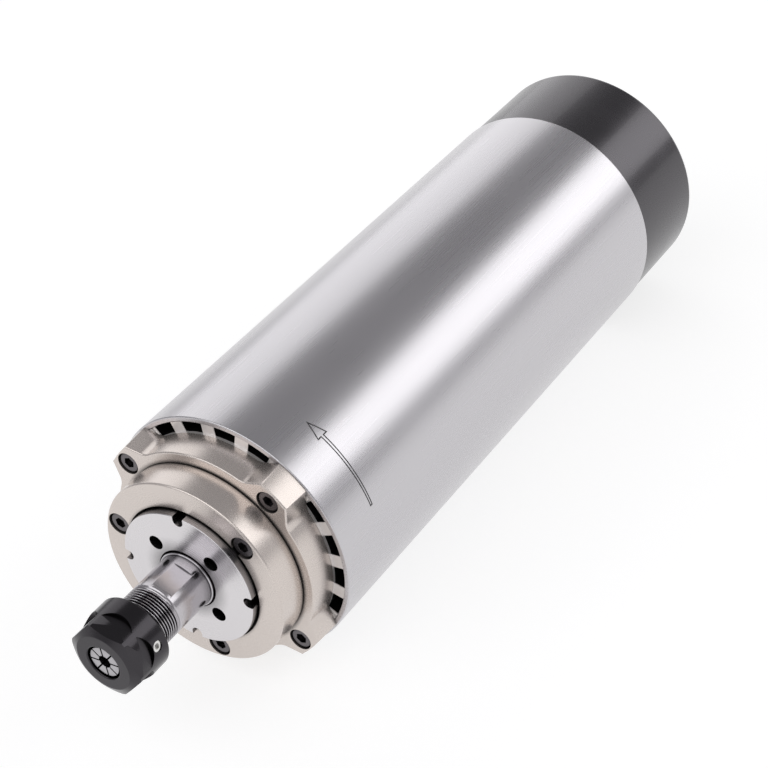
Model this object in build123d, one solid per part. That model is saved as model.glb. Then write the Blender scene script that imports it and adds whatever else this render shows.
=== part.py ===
from build123d import *
from math import cos, hypot, radians, sin, tan
import os

# Air-cooled motor spindle with a collet chuck, built as separate pieces. Sizes are in millimetres.
# The spindle's axis is Y and its nose points to -Y. Y is zero at the front rim of the outer sleeve.
# Angles run from +Z towards +X, which is clockwise as seen from the nose.

# Fits between pieces
slip_fit = 0.02  # radial, between pieces that are assembled together and stay still
screw_clearance = 0.08  # radial, between a screw and a hole that it passes through
running_fit = 0.06  # radial, between a turning piece and what guides it
seat_gap = 0.03  # square to the taper, between the collet and its seat

# Outer sleeve
sleeve_diameter = 65.0
sleeve_wall = 1.5
flush_step = 0.4  # that the bell's lobes and the rear cover lie below the sleeve's outside
sleeve_length = 152.5

# Finned stator housing
channel_depth = 2.9  # of the air channels between the fins
housing_wall = 4.1  # round the stator
fin_count = 20
fin_width = 3.6
fin_setback = 0.6
fin_root = 1.0  # that the fins reach into the tube's wall
screw_rib_width = 12.0

# Front end bell with screw lobes
bell_standout = 7.3
bell_draft = 3.5
lobe_count = 4
lobe_phase = 45.0
lobe_tip_width = 8.0
lobe_flank_angle = 34.0
lobe_root_depth = 5.0  # that the lobes reach inside the bell's waist
lobe_root_round = 4.0
lobe_trim = 1.0  # of the lobes that is turned off at the sleeve's radius
lobe_tip_chamfer = 1.1
lobe_screw_edge = 3.9  # from the sleeve's outside to the centres of the lobe screws
bell_spigot_length = 5.0
bell_hub_wall = 4.0
bell_shoulder_length = 2.5
bell_shoulder_height = 2.5

# Bearing cap
cap_setback = 3.7  # from the centres of the lobe screws to the cap's rim
cap_standout = 8.2
cap_edge_round = 0.9
cap_foot_height = 0.3  # of the groove round the cap's foot
cap_foot_depth = 0.5
cap_screw_count = 3
cap_screw_phase = 54.0
cap_screw_edge = 3.6  # from the cap's rim to the centres of its screws
cap_spigot_margin = 0.6  # of metal between the spigot and the cap screws
cap_spigot_length = 1.5

# Lock ring in the bearing cap
lock_setback = 3.2  # from the centres of the cap's screws to the ring's rim
lock_standout = 2.0
lock_thickness = 6.5
lock_rim_gap = 0.4
lock_rim_relief = 1.0
lock_edge = 0.3
lock_sleeve_wall = 2.8
lock_bore_gap = 0.25
lock_phase = 6.0
notch_count = 4
notch_radius = 1.4
notch_edge = 1.0  # from the ring's rim to the centres of the notches' floors
notch_depth = 4.0
pin_hole_diameter = 3.8
pin_hole_circle = 21.8
pin_hole_depth = 5.0

# Socket-head screws of the nose, and pan-head screws of the rear cover
screw_diameter = 3.0
head_diameter = 5.5
head_height = 3.0
head_gap = 0.25
head_sink = 0.4
key_width = 2.5
key_depth = 1.5
tap_depth = 6.5
tip_gap = 0.5  # from a screw's tip to the floor of its hole
pan_head_height = 1.6
pan_head_sink = 0.2
pan_key_width = 2.0
pan_key_depth = 1.0

# Front bearing pair
front_bore = 15.0
front_outer = 32.0
front_width = 9.0
front_ball_count = 9
front_bearing_y = -6.0
# Rear bearing
rear_bore = 12.0
rear_outer = 28.0
rear_width = 8.0
rear_ball_count = 7
# Both bearings
ball_diameter = 4.76
race_wall_share = 0.30  # of the radial space between bore and outer diameter
ball_gap = 0.05
cage_thickness = 1.2
cage_edge = 0.9

# Shaft, from the nose to the fan
neck_diameter = 14.0
shoulder_standout = 0.6
neck_length = 11.6  # from the shoulder to the thread
bearing_shoulder_diameter = 19.0
bearing_shoulder_length = 4.0
core_bore = 17.0
rear_shoulder = 1.5
shaft_edge = 0.2
flat_width = 13.0
flat_length = 7.8
flat_gap = 1.4  # from the thread to the wrench flats
flat_phase = 25.0
thread_diameter = 14.0
thread_edge = 0.4
thread_runout = 0.4
thread_undercut = 0.25
thread_shown = 6.8  # between the neck and the nut, with the collet seated
nose_gap = 0.1  # from the collet's shoulder to the nose of the shaft
fan_seat_diameter = 10.0
fan_thread_diameter = 8.0
stud_showing = 1.0  # past the fan's nut
lock_nut_diameter = 24.0
lock_nut_length = 4.0
lock_nut_slot_count = 4
lock_nut_slot_width = 3.0
lock_nut_slot_depth = 1.4

# Collet
tool_diameter = 3.175
collet_length = 18.0
collet_diameter = 11.5
collet_taper = 8.0
collet_face_diameter = 7.8
collet_face_taper = 30.0
collet_face_length = 2.0
collet_land = 0.9
groove_width = 1.2
groove_diameter = 9.0
groove_run = 0.2
collet_slot_count = 8
slot_width = 0.4
slot_share = 0.78  # of the collet's length that each slot runs
relief_bore = 6.6
seat_run_out = 0.5
relief_depth = 12.0

# Collet nut
nut_diameter = 19.0
nut_length = 11.3
nut_flat_count = 6
nut_flat_width = 17.0
nut_flat_reach = 6.7
flat_cutter_radius = 5.8
nut_flat_phase = 16.4
nut_face_chamfer = 1.1
nut_edge = 0.5
nut_opening = 8.8
nut_face_sink = 0.5  # from the nut's face back to the collet's face
ring_gap = 0.1
ring_offset = 0.5
balance_screw_diameter = 2.6
balance_screw_count = 2
balance_screw_phase = 81.7
balance_screw_y = 3.2  # from the nut's back face
balance_wall = 0.6
balance_sink = 0.3
balance_key_width = 1.3
balance_key_depth = 0.8

# Stator and rotor
front_coil_gap = 16.5  # from the bell's hub to the front end turns
fan_space = 26.5  # from the housing's rear face to the sleeve's rear edge
rotor_diameter = 27.8
air_gap = 0.4
stator_slot_count = 12
stator_slot_width = 4.4
stator_slot_floor = 2.4
slot_neck = 1.6
end_turn_length = 11.0
end_turn_edge = 1.8
coil_gap = 0.1
end_ring_length = 4.0
end_ring_diameter = 26.0

# Rear bearing bracket and its posts
bracket_plate = 4.0
bracket_spigot_length = 4.0
bracket_hub_wall = 3.0
bracket_hub_front = 2.0  # from the hub's front to the bearing
bracket_hub_gap = 2.0  # from the rear end turns to the hub
bracket_lip_length = 2.4
bracket_lip_bore = 21.0
spring_wall = 0.6
spring_width = 3.7
spring_rim_gap = 0.3
spring_height = 1.2
post_diameter = 5.5
post_edge = 1.7  # from the housing's outside to the centres of the posts
post_count = 4
post_phase = 45.0
stud_length = 9.0
lead_window_width = 9.8
lead_window_height = 2.4

# Cooling fan
fan_lead_gap = 0.6  # between the blades' tips and the leads
fan_blade_count = 7
fan_hub_diameter = 19.0
fan_hub_length = 11.0
fan_hub_round = 2.0
fan_gap = 6.0
blade_thickness = 1.3
blade_overlap = 2.0  # past the hub's and the tips' radii, before trimming
blade_chord = 11.0
blade_root_pitch = 52.0
blade_tip_pitch = 30.0
fan_nut_width = 13.0
fan_nut_length = 5.0

# Rear cover
cover_length = 29.5
cover_wall = 2.0
cover_end_wall = 2.5
cover_edge_round = 1.6
cover_spigot_length = 6.0
cover_spigot_wall = 1.6
intake_slot_count = 20
intake_width = 2.2
intake_inner = 26.0
intake_edge = 8.5  # from the cover's outside to the outer ends of the slots
boss_diameter = 6.8
boss_length = 11.5

# Panel socket in the rear cover
socket_thread_diameter = 16.0
socket_neck_diameter = 14.0
socket_bore = 12.8
socket_standout = 9.5
socket_flange_diameter = 19.0
socket_flange_length = 2.0
socket_edge = 0.5
socket_inside_length = 10.0
socket_nut_width = 18.0
socket_nut_length = 2.5
insert_recess = 6.5
insert_length = 11.0
pin_count = 4
pin_circle = 7.4
pin_phase = 18.4
pin_diameter = 1.6
pin_recess = 1.5
cup_diameter = 2.2
cup_length = 6.0

# Leads from the socket to the windings
lead_diameter = 1.6
lead_start = 6.0  # of each lead lies along the end turns
lead_bend = 3.0

# Radii and stations worked out from the sizes above
sleeve_r = sleeve_diameter / 2
sleeve_inner_r = sleeve_r - sleeve_wall
flush_r = sleeve_r - flush_step
housing_r = sleeve_inner_r - channel_depth
stator_r = housing_r - housing_wall
lobe_screw_r = sleeve_r - lobe_screw_edge
cap_r = lobe_screw_r - cap_setback
cap_screw_r = cap_r - cap_screw_edge
lock_r = cap_screw_r - lock_setback
notch_r = lock_r - notch_edge
screw_r = screw_diameter / 2
head_r = head_diameter / 2
cap_spigot_r = cap_screw_r - screw_r - cap_spigot_margin
front_r, front_outer_r = front_bore / 2, front_outer / 2
rear_r, rear_outer_r = rear_bore / 2, rear_outer / 2
neck_r, thread_r = neck_diameter / 2, thread_diameter / 2
stator_bore_r = rotor_diameter / 2 + air_gap
coil_inner_r = stator_bore_r + slot_neck + coil_gap
coil_outer_r = stator_r - stator_slot_floor - coil_gap
lead_reach = coil_outer_r + coil_gap + lead_diameter / 2
fan_r = lead_reach - lead_diameter / 2 - fan_lead_gap
post_r = housing_r - post_edge
bell_face_y = -bell_standout
cap_face_y = bell_face_y - cap_standout
lock_face_y = cap_face_y - lock_standout
lock_back_y = lock_face_y + lock_thickness
shoulder_y = lock_face_y - shoulder_standout
thread_y = shoulder_y - neck_length
flat_y = thread_y + flat_gap
nut_back_y = thread_y - thread_shown
nut_face_y = nut_back_y - nut_length
collet_face_y = nut_face_y + nut_face_sink
collet_groove_y = collet_face_y + collet_face_length + collet_land
collet_shoulder_y = collet_groove_y + groove_width + groove_run
collet_end_y = collet_face_y + collet_length
nose_y = collet_shoulder_y + nose_gap
front_bearing_end = front_bearing_y + 2 * front_width
hub_end_y = front_bearing_end + bell_shoulder_length
housing_length = sleeve_length - fan_space
plate_back_y = housing_length + bracket_plate
rear_bearing_y = housing_length - bracket_spigot_length
rear_bearing_end = rear_bearing_y + rear_width
hub_front_y = rear_bearing_y - bracket_hub_front
lip_y = rear_bearing_end + spring_height
bracket_end = lip_y + bracket_lip_length
coil_start = hub_end_y + front_coil_gap
coil_end = hub_front_y - bracket_hub_gap
stator_start = coil_start + end_turn_length
stator_end = coil_end - end_turn_length
fan_y = bracket_end + fan_gap
fan_end = fan_y + fan_hub_length
fan_stud_end = fan_end + fan_nut_length + stud_showing
cover_end = sleeve_length + cover_length
end_wall_y = cover_end - cover_end_wall
post_end = end_wall_y - boss_length
pan_seat_y = cover_end - pan_head_height - pan_head_sink
socket_front_y = end_wall_y - socket_inside_length
socket_end = cover_end + socket_standout
insert_end = socket_end - insert_recess
insert_start = insert_end - insert_length
cup_end = insert_start - cup_length


def turned(*corners):
    """A solid turned about the spindle's axis from its (radius, y) corners."""
    return revolve(make_face(Polyline(*corners, close=True)), Axis.Y)


def tube(inner, outer, start, end):
    """A tube on the spindle's axis, from one y to another."""
    return turned((inner, start), (outer, start), (outer, end), (inner, end))


def rod(radius, start, end, reach=0.0, angle=0.0):
    """A round bar along Y, at a distance from the axis and an angle round it."""
    bar = Cylinder(radius, end - start, align=(Align.CENTER, Align.CENTER, Align.MIN))
    return Rot(0, angle, 0) * Pos(0, start, reach) * Rot(-90, 0, 0) * bar


def hexagon(width, start, end, reach=0.0, angle=0.0):
    """A hexagonal bar along Y, of that width across flats."""
    bar = extrude(RegularPolygon(width / 2, 6, major_radius=False), end - start)
    return Rot(0, angle, 0) * Pos(0, start, reach) * Rot(-90, 0, 0) * bar


def around(count, phase=0.0):
    """Equally spaced angles round the axis."""
    return [phase + 360.0 * i / count for i in range(count)]


def rim(solid, radius, y):
    """The circular edges of that radius round the axis, at that y."""
    return solid.edges().filter_by(GeomType.CIRCLE).filter_by(
        lambda e: abs(e.radius - radius) < 1e-3
        and abs(e.arc_center.Y - y) < 1e-3
        and hypot(e.arc_center.X, e.arc_center.Z) < 1e-3
    )


def socket_screw(seat_y, length, reach, angle):
    """A socket-head screw whose head sits on seat_y and whose shank points to +Y."""
    top = seat_y - head_height
    screw = rod(head_r, top, seat_y, reach, angle) + rod(screw_r, seat_y, seat_y + length, reach, angle)
    return screw - hexagon(key_width, top, top + key_depth, reach, angle)


def screw_well(face_y, through_y, reach, angle):
    """The counterbore and clearance hole of a socket-head screw, from a front face."""
    seat_y = face_y + head_sink + head_height
    well = rod(head_r + head_gap, face_y, seat_y, reach, angle)
    return well + rod(screw_r + screw_clearance, seat_y, through_y, reach, angle)


def outer_sleeve():
    """The plain round tube that the spindle is clamped by."""
    return tube(sleeve_inner_r, sleeve_r, 0, sleeve_length)


def stator_housing():
    """The finned tube round the stator. Air runs along the channels between its fins."""
    body = tube(stator_r, housing_r, 0, housing_length)
    fin_tip = sleeve_inner_r - slip_fit
    blade = Pos(0, fin_setback, 0) * Box(
        fin_width, housing_length - fin_setback, fin_tip, align=(Align.CENTER, Align.MIN, Align.MIN)
    )
    rib = Box(screw_rib_width, housing_length, fin_tip, align=(Align.CENTER, Align.MIN, Align.MIN))
    web = Part() + [Rot(0, a, 0) * blade for a in around(fin_count)]
    web += [Rot(0, a, 0) * rib for a in around(lobe_count, lobe_phase)]
    body += web & tube(housing_r - fin_root, fin_tip, 0, housing_length)
    for a in around(lobe_count, lobe_phase):
        body -= rod(screw_r + slip_fit, 0, tap_depth, lobe_screw_r, a)
    for a in around(post_count, post_phase):
        body -= rod(screw_r + slip_fit, housing_length - stud_length, housing_length, post_r, a)
    return body


def bell_outline():
    """The bell's outline at its foot: a circle with four tapered lobes, rounded into it."""
    lobe_top = sleeve_r + lobe_trim
    spread = tan(radians(lobe_flank_angle))
    tip = lobe_tip_width / 2
    root_z = housing_r - lobe_root_depth
    root = tip + (sleeve_r - root_z) * spread
    top = tip - (lobe_top - sleeve_r) * spread
    lobe = Polygon((-root, root_z), (root, root_z), (top, lobe_top), (-top, lobe_top), align=None)
    outline = Circle(housing_r) + [Rot(0, 0, a) * lobe for a in around(lobe_count, lobe_phase)]
    corners = outline.vertices().filter_by(lambda v: abs(hypot(v.X, v.Y) - housing_r) < 1e-3)
    return fillet(corners, lobe_root_round)


def front_end_bell():
    """The lobed front end: it carries the front bearings and closes the stator housing."""
    block = extrude(Plane.XZ * bell_outline(), amount=bell_standout, taper=bell_draft)
    bell = block & turned(
        (0, 0),
        (flush_r, 0),
        (flush_r, bell_face_y + lobe_tip_chamfer),
        (flush_r - lobe_tip_chamfer, bell_face_y),
        (0, bell_face_y),
    )
    bore_r = front_outer_r + slip_fit
    bell += tube(0, stator_r - slip_fit, 0, bell_spigot_length)
    bell += tube(0, bore_r + bell_hub_wall, 0, hub_end_y)
    bell -= tube(0, bore_r, bell_face_y, front_bearing_end)
    bell -= tube(0, front_outer_r - bell_shoulder_height, front_bearing_end, hub_end_y)
    bell -= tube(0, cap_spigot_r + slip_fit, bell_face_y, bell_face_y + cap_spigot_length + slip_fit)
    for a in around(lobe_count, lobe_phase):
        bell -= screw_well(bell_face_y, 0, lobe_screw_r, a)
    for a in around(cap_screw_count, cap_screw_phase):
        bell -= rod(screw_r + slip_fit, bell_face_y, bell_face_y + tap_depth, cap_screw_r, a)
    return bell


def bearing_cap():
    """The round cap that clamps the front bearings and holds the lock ring."""
    lip_y = lock_back_y + lock_standout
    cap = tube(0, cap_r, cap_face_y, bell_face_y)
    cap = fillet(rim(cap, cap_r, cap_face_y), cap_edge_round)
    cap -= tube(cap_r - cap_foot_depth, cap_r, bell_face_y - cap_foot_height, bell_face_y)
    cap += tube(0, cap_spigot_r, bell_face_y, bell_face_y + cap_spigot_length)
    cap -= tube(0, lock_r + lock_rim_gap, cap_face_y, cap_face_y + lock_standout + lock_rim_relief)
    cap -= tube(0, lock_r + slip_fit, cap_face_y, lip_y)
    cap -= tube(0, front_outer_r + slip_fit, lip_y, bell_face_y + cap_spigot_length)
    for a in around(cap_screw_count, cap_screw_phase):
        cap -= screw_well(cap_face_y, bell_face_y, cap_screw_r, a)
    return cap


def lock_ring():
    """The turned ring in the cap that holds the bearings, with wrench notches and pin holes."""
    bore_r = front_r + lock_bore_gap
    inner_r = front_outer_r - lock_sleeve_wall
    rim_back = lock_back_y + lock_standout
    ring = turned(
        (bore_r, lock_face_y),
        (lock_r, lock_face_y),
        (lock_r, rim_back),
        (front_outer_r, rim_back),
        (front_outer_r, front_bearing_y),
        (inner_r, front_bearing_y),
        (inner_r, lock_back_y),
        (bore_r, lock_back_y),
    )
    ring = chamfer(rim(ring, lock_r, lock_face_y), lock_edge)
    for a in around(notch_count, lock_phase):
        notch = rod(notch_radius, lock_face_y, lock_face_y + notch_depth, notch_r, a)
        slot = Rot(0, a, 0) * Pos(0, lock_face_y, notch_r) * Box(
            2 * notch_radius, notch_depth, lock_r, align=(Align.CENTER, Align.MIN, Align.MIN)
        )
        ring -= notch + slot
        ring -= rod(
            pin_hole_diameter / 2,
            lock_face_y,
            lock_face_y + pin_hole_depth,
            pin_hole_circle / 2,
            a + 180.0 / notch_count,
        )
    return ring


def nose_screws():
    """The socket-head screws of the bell's lobes and of the bearing cap."""
    sink = head_sink + head_height
    lobe_length = bell_standout - sink + tap_depth - tip_gap
    cap_length = cap_standout - sink + tap_depth - tip_gap
    lobes = [
        socket_screw(bell_face_y + sink, lobe_length, lobe_screw_r, a)
        for a in around(lobe_count, lobe_phase)
    ]
    caps = [
        socket_screw(cap_face_y + sink, cap_length, cap_screw_r, a)
        for a in around(cap_screw_count, cap_screw_phase)
    ]
    return lobes, caps


class Bearing:
    """A ball bearing on the spindle's axis: two races, a cage and a set of balls."""

    def __init__(self, bore, outer, width, balls, start):
        """Keeps the sizes and works out the ball circle and the race walls."""
        self.bore_r, self.outer_r = bore / 2, outer / 2
        self.start, self.end, self.middle = start, start + width, start + width / 2
        self.balls = balls
        self.pitch_r = (self.bore_r + self.outer_r) / 2
        wall = (self.outer_r - self.bore_r) * race_wall_share
        self.inner_top, self.outer_bottom = self.bore_r + wall, self.outer_r - wall

    def raceway(self):
        """The ring-shaped groove that the balls run in."""
        groove = Pos(self.pitch_r, self.middle) * Circle(ball_diameter / 2 + ball_gap)
        return revolve(groove, Axis.Y)

    def inner_race(self):
        """The race on the shaft."""
        return tube(self.bore_r, self.inner_top, self.start, self.end) - self.raceway()

    def outer_race(self):
        """The race in the housing."""
        return tube(self.outer_bottom, self.outer_r, self.start, self.end) - self.raceway()

    def cage(self):
        """The ring that keeps the balls apart, with one round pocket for each ball."""
        half = cage_thickness / 2
        inner, outer = self.pitch_r - half, self.pitch_r + half
        ring = tube(inner, outer, self.start + cage_edge, self.end - cage_edge)
        pocket_r, reach = ball_diameter / 2 + ball_gap, 2 * self.pitch_r
        pocket = Cylinder(pocket_r, reach, align=(Align.CENTER, Align.CENTER, Align.MIN))
        return ring - [Rot(0, a, 0) * Pos(0, self.middle, 0) * pocket for a in around(self.balls)]

    def ball_set(self):
        """The balls, on their pitch circle."""
        ball = Pos(0, self.middle, self.pitch_r) * Sphere(ball_diameter / 2)
        return [Rot(0, a, 0) * ball for a in around(self.balls)]


def seat_radius(y):
    """The collet's own radius on its long taper, at that y."""
    return collet_diameter / 2 - (y - collet_shoulder_y) * tan(radians(collet_taper))


def shaft():
    """The one-piece shaft, from the collet seat at its nose to the fan's thread."""
    gap = seat_gap / cos(radians(collet_taper))
    seat_mouth = seat_radius(nose_y) + gap
    seat_floor = seat_radius(collet_end_y) + gap
    undercut_r = thread_r - thread_undercut
    relief_r = relief_bore / 2
    body = turned(
        (0, collet_end_y + relief_depth),
        (relief_r, collet_end_y + relief_depth),
        (relief_r, collet_end_y + seat_run_out),
        (seat_floor, collet_end_y + seat_run_out),
        (seat_floor, collet_end_y),
        (seat_mouth, nose_y),
        (thread_r - thread_edge, nose_y),
        (thread_r, nose_y + thread_edge),
        (thread_r, thread_y - thread_runout),
        (undercut_r, thread_y - thread_runout),
        (undercut_r, thread_y),
        (neck_r, thread_y + thread_undercut),
        (neck_r, shoulder_y),
        (front_r - slip_fit - shaft_edge, shoulder_y),
        (front_r - slip_fit, shoulder_y + shaft_edge),
        (front_r - slip_fit, front_bearing_end),
        (bearing_shoulder_diameter / 2, front_bearing_end),
        (bearing_shoulder_diameter / 2, front_bearing_end + bearing_shoulder_length),
        (core_bore / 2, front_bearing_end + bearing_shoulder_length),
        (core_bore / 2, stator_end + end_ring_length),
        (rear_r + rear_shoulder, stator_end + end_ring_length),
        (rear_r + rear_shoulder, rear_bearing_y),
        (rear_r - slip_fit, rear_bearing_y),
        (rear_r - slip_fit, fan_y),
        (fan_seat_diameter / 2, fan_y),
        (fan_seat_diameter / 2, fan_end),
        (fan_thread_diameter / 2, fan_end),
        (fan_thread_diameter / 2, fan_stud_end),
        (0, fan_stud_end),
    )
    for a in (flat_phase, flat_phase + 180.0):
        body -= Rot(0, a, 0) * Pos(0, flat_y, flat_width / 2) * Box(
            2 * neck_diameter, flat_length, neck_r, align=(Align.CENTER, Align.MIN, Align.MIN)
        )
    return body


def bearing_lock_nut():
    """The slotted nut on the shaft that holds the inner races against their shoulder."""
    start = front_bearing_y - lock_nut_length
    outer_r = lock_nut_diameter / 2
    nut = tube(front_r + slip_fit, outer_r, start, front_bearing_y)
    for a in around(lock_nut_slot_count):
        nut -= Rot(0, a, 0) * Pos(0, start, outer_r - lock_nut_slot_depth) * Box(
            lock_nut_slot_width, lock_nut_length, outer_r, align=(Align.CENTER, Align.MIN, Align.MIN)
        )
    return nut


def collet():
    """The slotted spring collet: a short face cone, a groove and a long taper."""
    face_r, bore_r = collet_face_diameter / 2, tool_diameter / 2
    land_r = face_r + collet_face_length * tan(radians(collet_face_taper))
    groove_r = groove_diameter / 2
    body = turned(
        (bore_r, collet_face_y),
        (face_r, collet_face_y),
        (land_r, collet_face_y + collet_face_length),
        (land_r, collet_groove_y),
        (groove_r, collet_groove_y),
        (groove_r, collet_groove_y + groove_width),
        (collet_diameter / 2, collet_shoulder_y),
        (seat_radius(collet_end_y), collet_end_y),
        (bore_r, collet_end_y),
    )
    run = collet_length * slot_share
    cut = Box(slot_width, run, collet_diameter, align=(Align.CENTER, Align.MIN, Align.MIN))
    for a in around(collet_slot_count):
        body -= Rot(0, a, 0) * Pos(0, collet_face_y, 0) * cut
        body -= Rot(0, a + 180.0 / collet_slot_count, 0) * Pos(0, collet_end_y - run, 0) * cut
    return body


def collet_nut():
    """The clamping nut: milled flats, a face cone for the collet and an off-centre lip in its groove."""
    nut_r, opening_r = nut_diameter / 2, nut_opening / 2
    bore_r = thread_r + running_fit
    gap = seat_gap / cos(radians(collet_face_taper))
    cone_r = collet_face_diameter / 2 + collet_face_length * tan(radians(collet_face_taper)) + gap
    cone_y = collet_face_y + collet_face_length
    opening_y = cone_y - (cone_r - opening_r) / tan(radians(collet_face_taper))
    lip_front = collet_groove_y + ring_gap
    lip_back = collet_groove_y + groove_width - ring_gap
    nut = turned(
        (opening_r, nut_face_y),
        (nut_r - 2 * nut_face_chamfer, nut_face_y),
        (nut_r, nut_face_y + nut_face_chamfer),
        (nut_r, nut_back_y - nut_edge),
        (nut_r - nut_edge, nut_back_y),
        (bore_r + nut_edge, nut_back_y),
        (bore_r, nut_back_y - nut_edge),
        (bore_r, lip_back),
        (opening_r, lip_back),
    )
    lip_bore = groove_diameter / 2 + ring_gap + ring_offset
    nut -= turned(
        (0, opening_y),
        (opening_r, opening_y),
        (cone_r, cone_y),
        (cone_r, lip_front),
        (0, lip_front),
    )
    nut -= rod(lip_bore, lip_front, lip_back, ring_offset)
    cutter = Box(2 * flat_cutter_radius, nut_length, nut_r, align=(Align.CENTER, Align.MAX, Align.MIN))
    cutter += Cylinder(flat_cutter_radius, nut_r, align=(Align.CENTER, Align.CENTER, Align.MIN))
    centre_y = nut_face_y + nut_flat_reach - flat_cutter_radius
    for a in around(nut_flat_count, nut_flat_phase):
        nut -= Rot(0, a, 0) * Pos(0, centre_y, nut_flat_width / 2) * cutter
    for a in around(balance_screw_count, balance_screw_phase):
        nut -= Rot(0, a, 0) * Pos(0, nut_back_y - balance_screw_y, bore_r + balance_wall) * Cylinder(
            balance_screw_diameter / 2 + slip_fit, nut_r, align=(Align.CENTER, Align.CENTER, Align.MIN)
        )
    return nut


def balance_screws():
    """The small set screws that balance the collet nut."""
    floor_r = thread_r + running_fit + balance_wall
    length = nut_diameter / 2 - floor_r - balance_sink
    screw = Cylinder(balance_screw_diameter / 2, length, align=(Align.CENTER, Align.CENTER, Align.MIN))
    key = extrude(RegularPolygon(balance_key_width / 2, 6, major_radius=False), balance_key_depth)
    screw -= Pos(0, 0, length - balance_key_depth) * key
    return [
        Rot(0, a, 0) * Pos(0, nut_back_y - balance_screw_y, floor_r) * screw
        for a in around(balance_screw_count, balance_screw_phase)
    ]


def stator_core():
    """The laminated stator, with open slots towards the rotor."""
    core = tube(stator_bore_r, stator_r - slip_fit, stator_start, stator_end)
    slot_floor, slot_top = stator_bore_r + slot_neck, stator_r - stator_slot_floor
    for a in around(stator_slot_count):
        core -= slot_block(stator_slot_width, slot_floor, slot_top, stator_start, stator_end, a)
        core -= slot_block(slot_neck, stator_bore_r - air_gap, slot_top, stator_start, stator_end, a)
    return core


def slot_block(width, inner, outer, start, end, angle):
    """A straight block along Y between two distances from the axis."""
    block = Box(width, end - start, outer - inner, align=(Align.CENTER, Align.MIN, Align.MIN))
    return Rot(0, angle, 0) * Pos(0, start, inner) * block


def stator_windings():
    """The coils: bars through the stator's slots, joined by a bevelled bundle at each end."""
    inner, outer = coil_inner_r, coil_outer_r
    width = stator_slot_width - 2 * coil_gap
    edge = min(end_turn_edge, (outer - inner) / 3)
    coils = Part()
    for start in (coil_start, stator_end):
        bundle = tube(inner, outer, start, start + end_turn_length)
        far_y = start if start < stator_start else start + end_turn_length
        coils += chamfer(rim(bundle, inner, far_y) + rim(bundle, outer, far_y), edge)
    for a in around(stator_slot_count):
        coils += slot_block(width, inner, outer, stator_start, stator_end, a)
    return coils


def rotor_end_rings():
    """The two short-circuit rings of the rotor cage."""
    inner, outer = core_bore / 2 + slip_fit, end_ring_diameter / 2
    return [
        tube(inner, outer, stator_start - end_ring_length, stator_start),
        tube(inner, outer, stator_end, stator_end + end_ring_length),
    ]


def rear_bracket():
    """The plate behind the stator housing that carries the rear bearing."""
    bore_r = rear_outer_r + slip_fit
    hub_r = bore_r + bracket_hub_wall
    bracket = tube(0, housing_r, housing_length, plate_back_y)
    bracket += tube(hub_r, stator_r - slip_fit, rear_bearing_y, housing_length)
    bracket += tube(0, hub_r, hub_front_y, bracket_end)
    bracket -= tube(0, bore_r, hub_front_y, lip_y)
    bracket -= tube(0, bracket_lip_bore / 2, lip_y, bracket_end)
    for a in around(post_count, post_phase):
        bracket -= rod(screw_r + screw_clearance, housing_length, plate_back_y, post_r, a)
    window = Box(lead_window_width, bracket_plate + bracket_spigot_length, lead_window_height)
    middle_y = (rear_bearing_y + plate_back_y) / 2
    return bracket - Pos(0, middle_y, lead_reach) * window


def preload_spring():
    """The dished spring washer that pushes the rear bearing forwards."""
    outer = rear_outer_r - spring_rim_gap
    inner = outer - spring_width
    rise = spring_height - spring_wall
    return turned(
        (outer, rear_bearing_end),
        (outer, rear_bearing_end + spring_wall),
        (inner, lip_y),
        (inner, rear_bearing_end + rise),
    )


def posts():
    """The round posts between the bracket and the rear cover, with a stud at the front."""
    solids = []
    for a in around(post_count, post_phase):
        post = rod(post_diameter / 2, plate_back_y, post_end, post_r, a)
        post += rod(screw_r, housing_length - stud_length + tip_gap, plate_back_y, post_r, a)
        solids.append(post - rod(screw_r + slip_fit, post_end - tap_depth, post_end, post_r, a))
    return solids


def cooling_fan():
    """The axial fan on the shaft, with twisted blades."""
    hub_r = fan_hub_diameter / 2
    fan = tube(0, hub_r, fan_y, fan_end)
    fan = fillet(rim(fan, hub_r, fan_end), fan_hub_round)
    middle_y = (fan_y + fan_end) / 2

    def section(radius, pitch):
        """The blade's cross-section at that radius, turned to its pitch."""
        along = (cos(radians(pitch)), sin(radians(pitch)), 0)
        plane = Plane(origin=(0, middle_y, radius), x_dir=along, z_dir=(0, 0, 1))
        return plane * Rectangle(blade_chord, blade_thickness)

    root = section(hub_r - blade_overlap, blade_root_pitch)
    tip = section(fan_r + blade_overlap, blade_tip_pitch)
    blade = loft([root, tip])
    blade &= tube(0, fan_r, fan_y, fan_end)
    fan += [Rot(0, a, 0) * blade for a in around(fan_blade_count)]
    return fan - tube(0, fan_seat_diameter / 2 + slip_fit, fan_y, fan_end)


def fan_nut():
    """The nut that holds the fan on the shaft."""
    nut = hexagon(fan_nut_width, fan_end, fan_end + fan_nut_length)
    return nut - tube(0, fan_thread_diameter / 2 + slip_fit, fan_end, fan_end + fan_nut_length)


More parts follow.
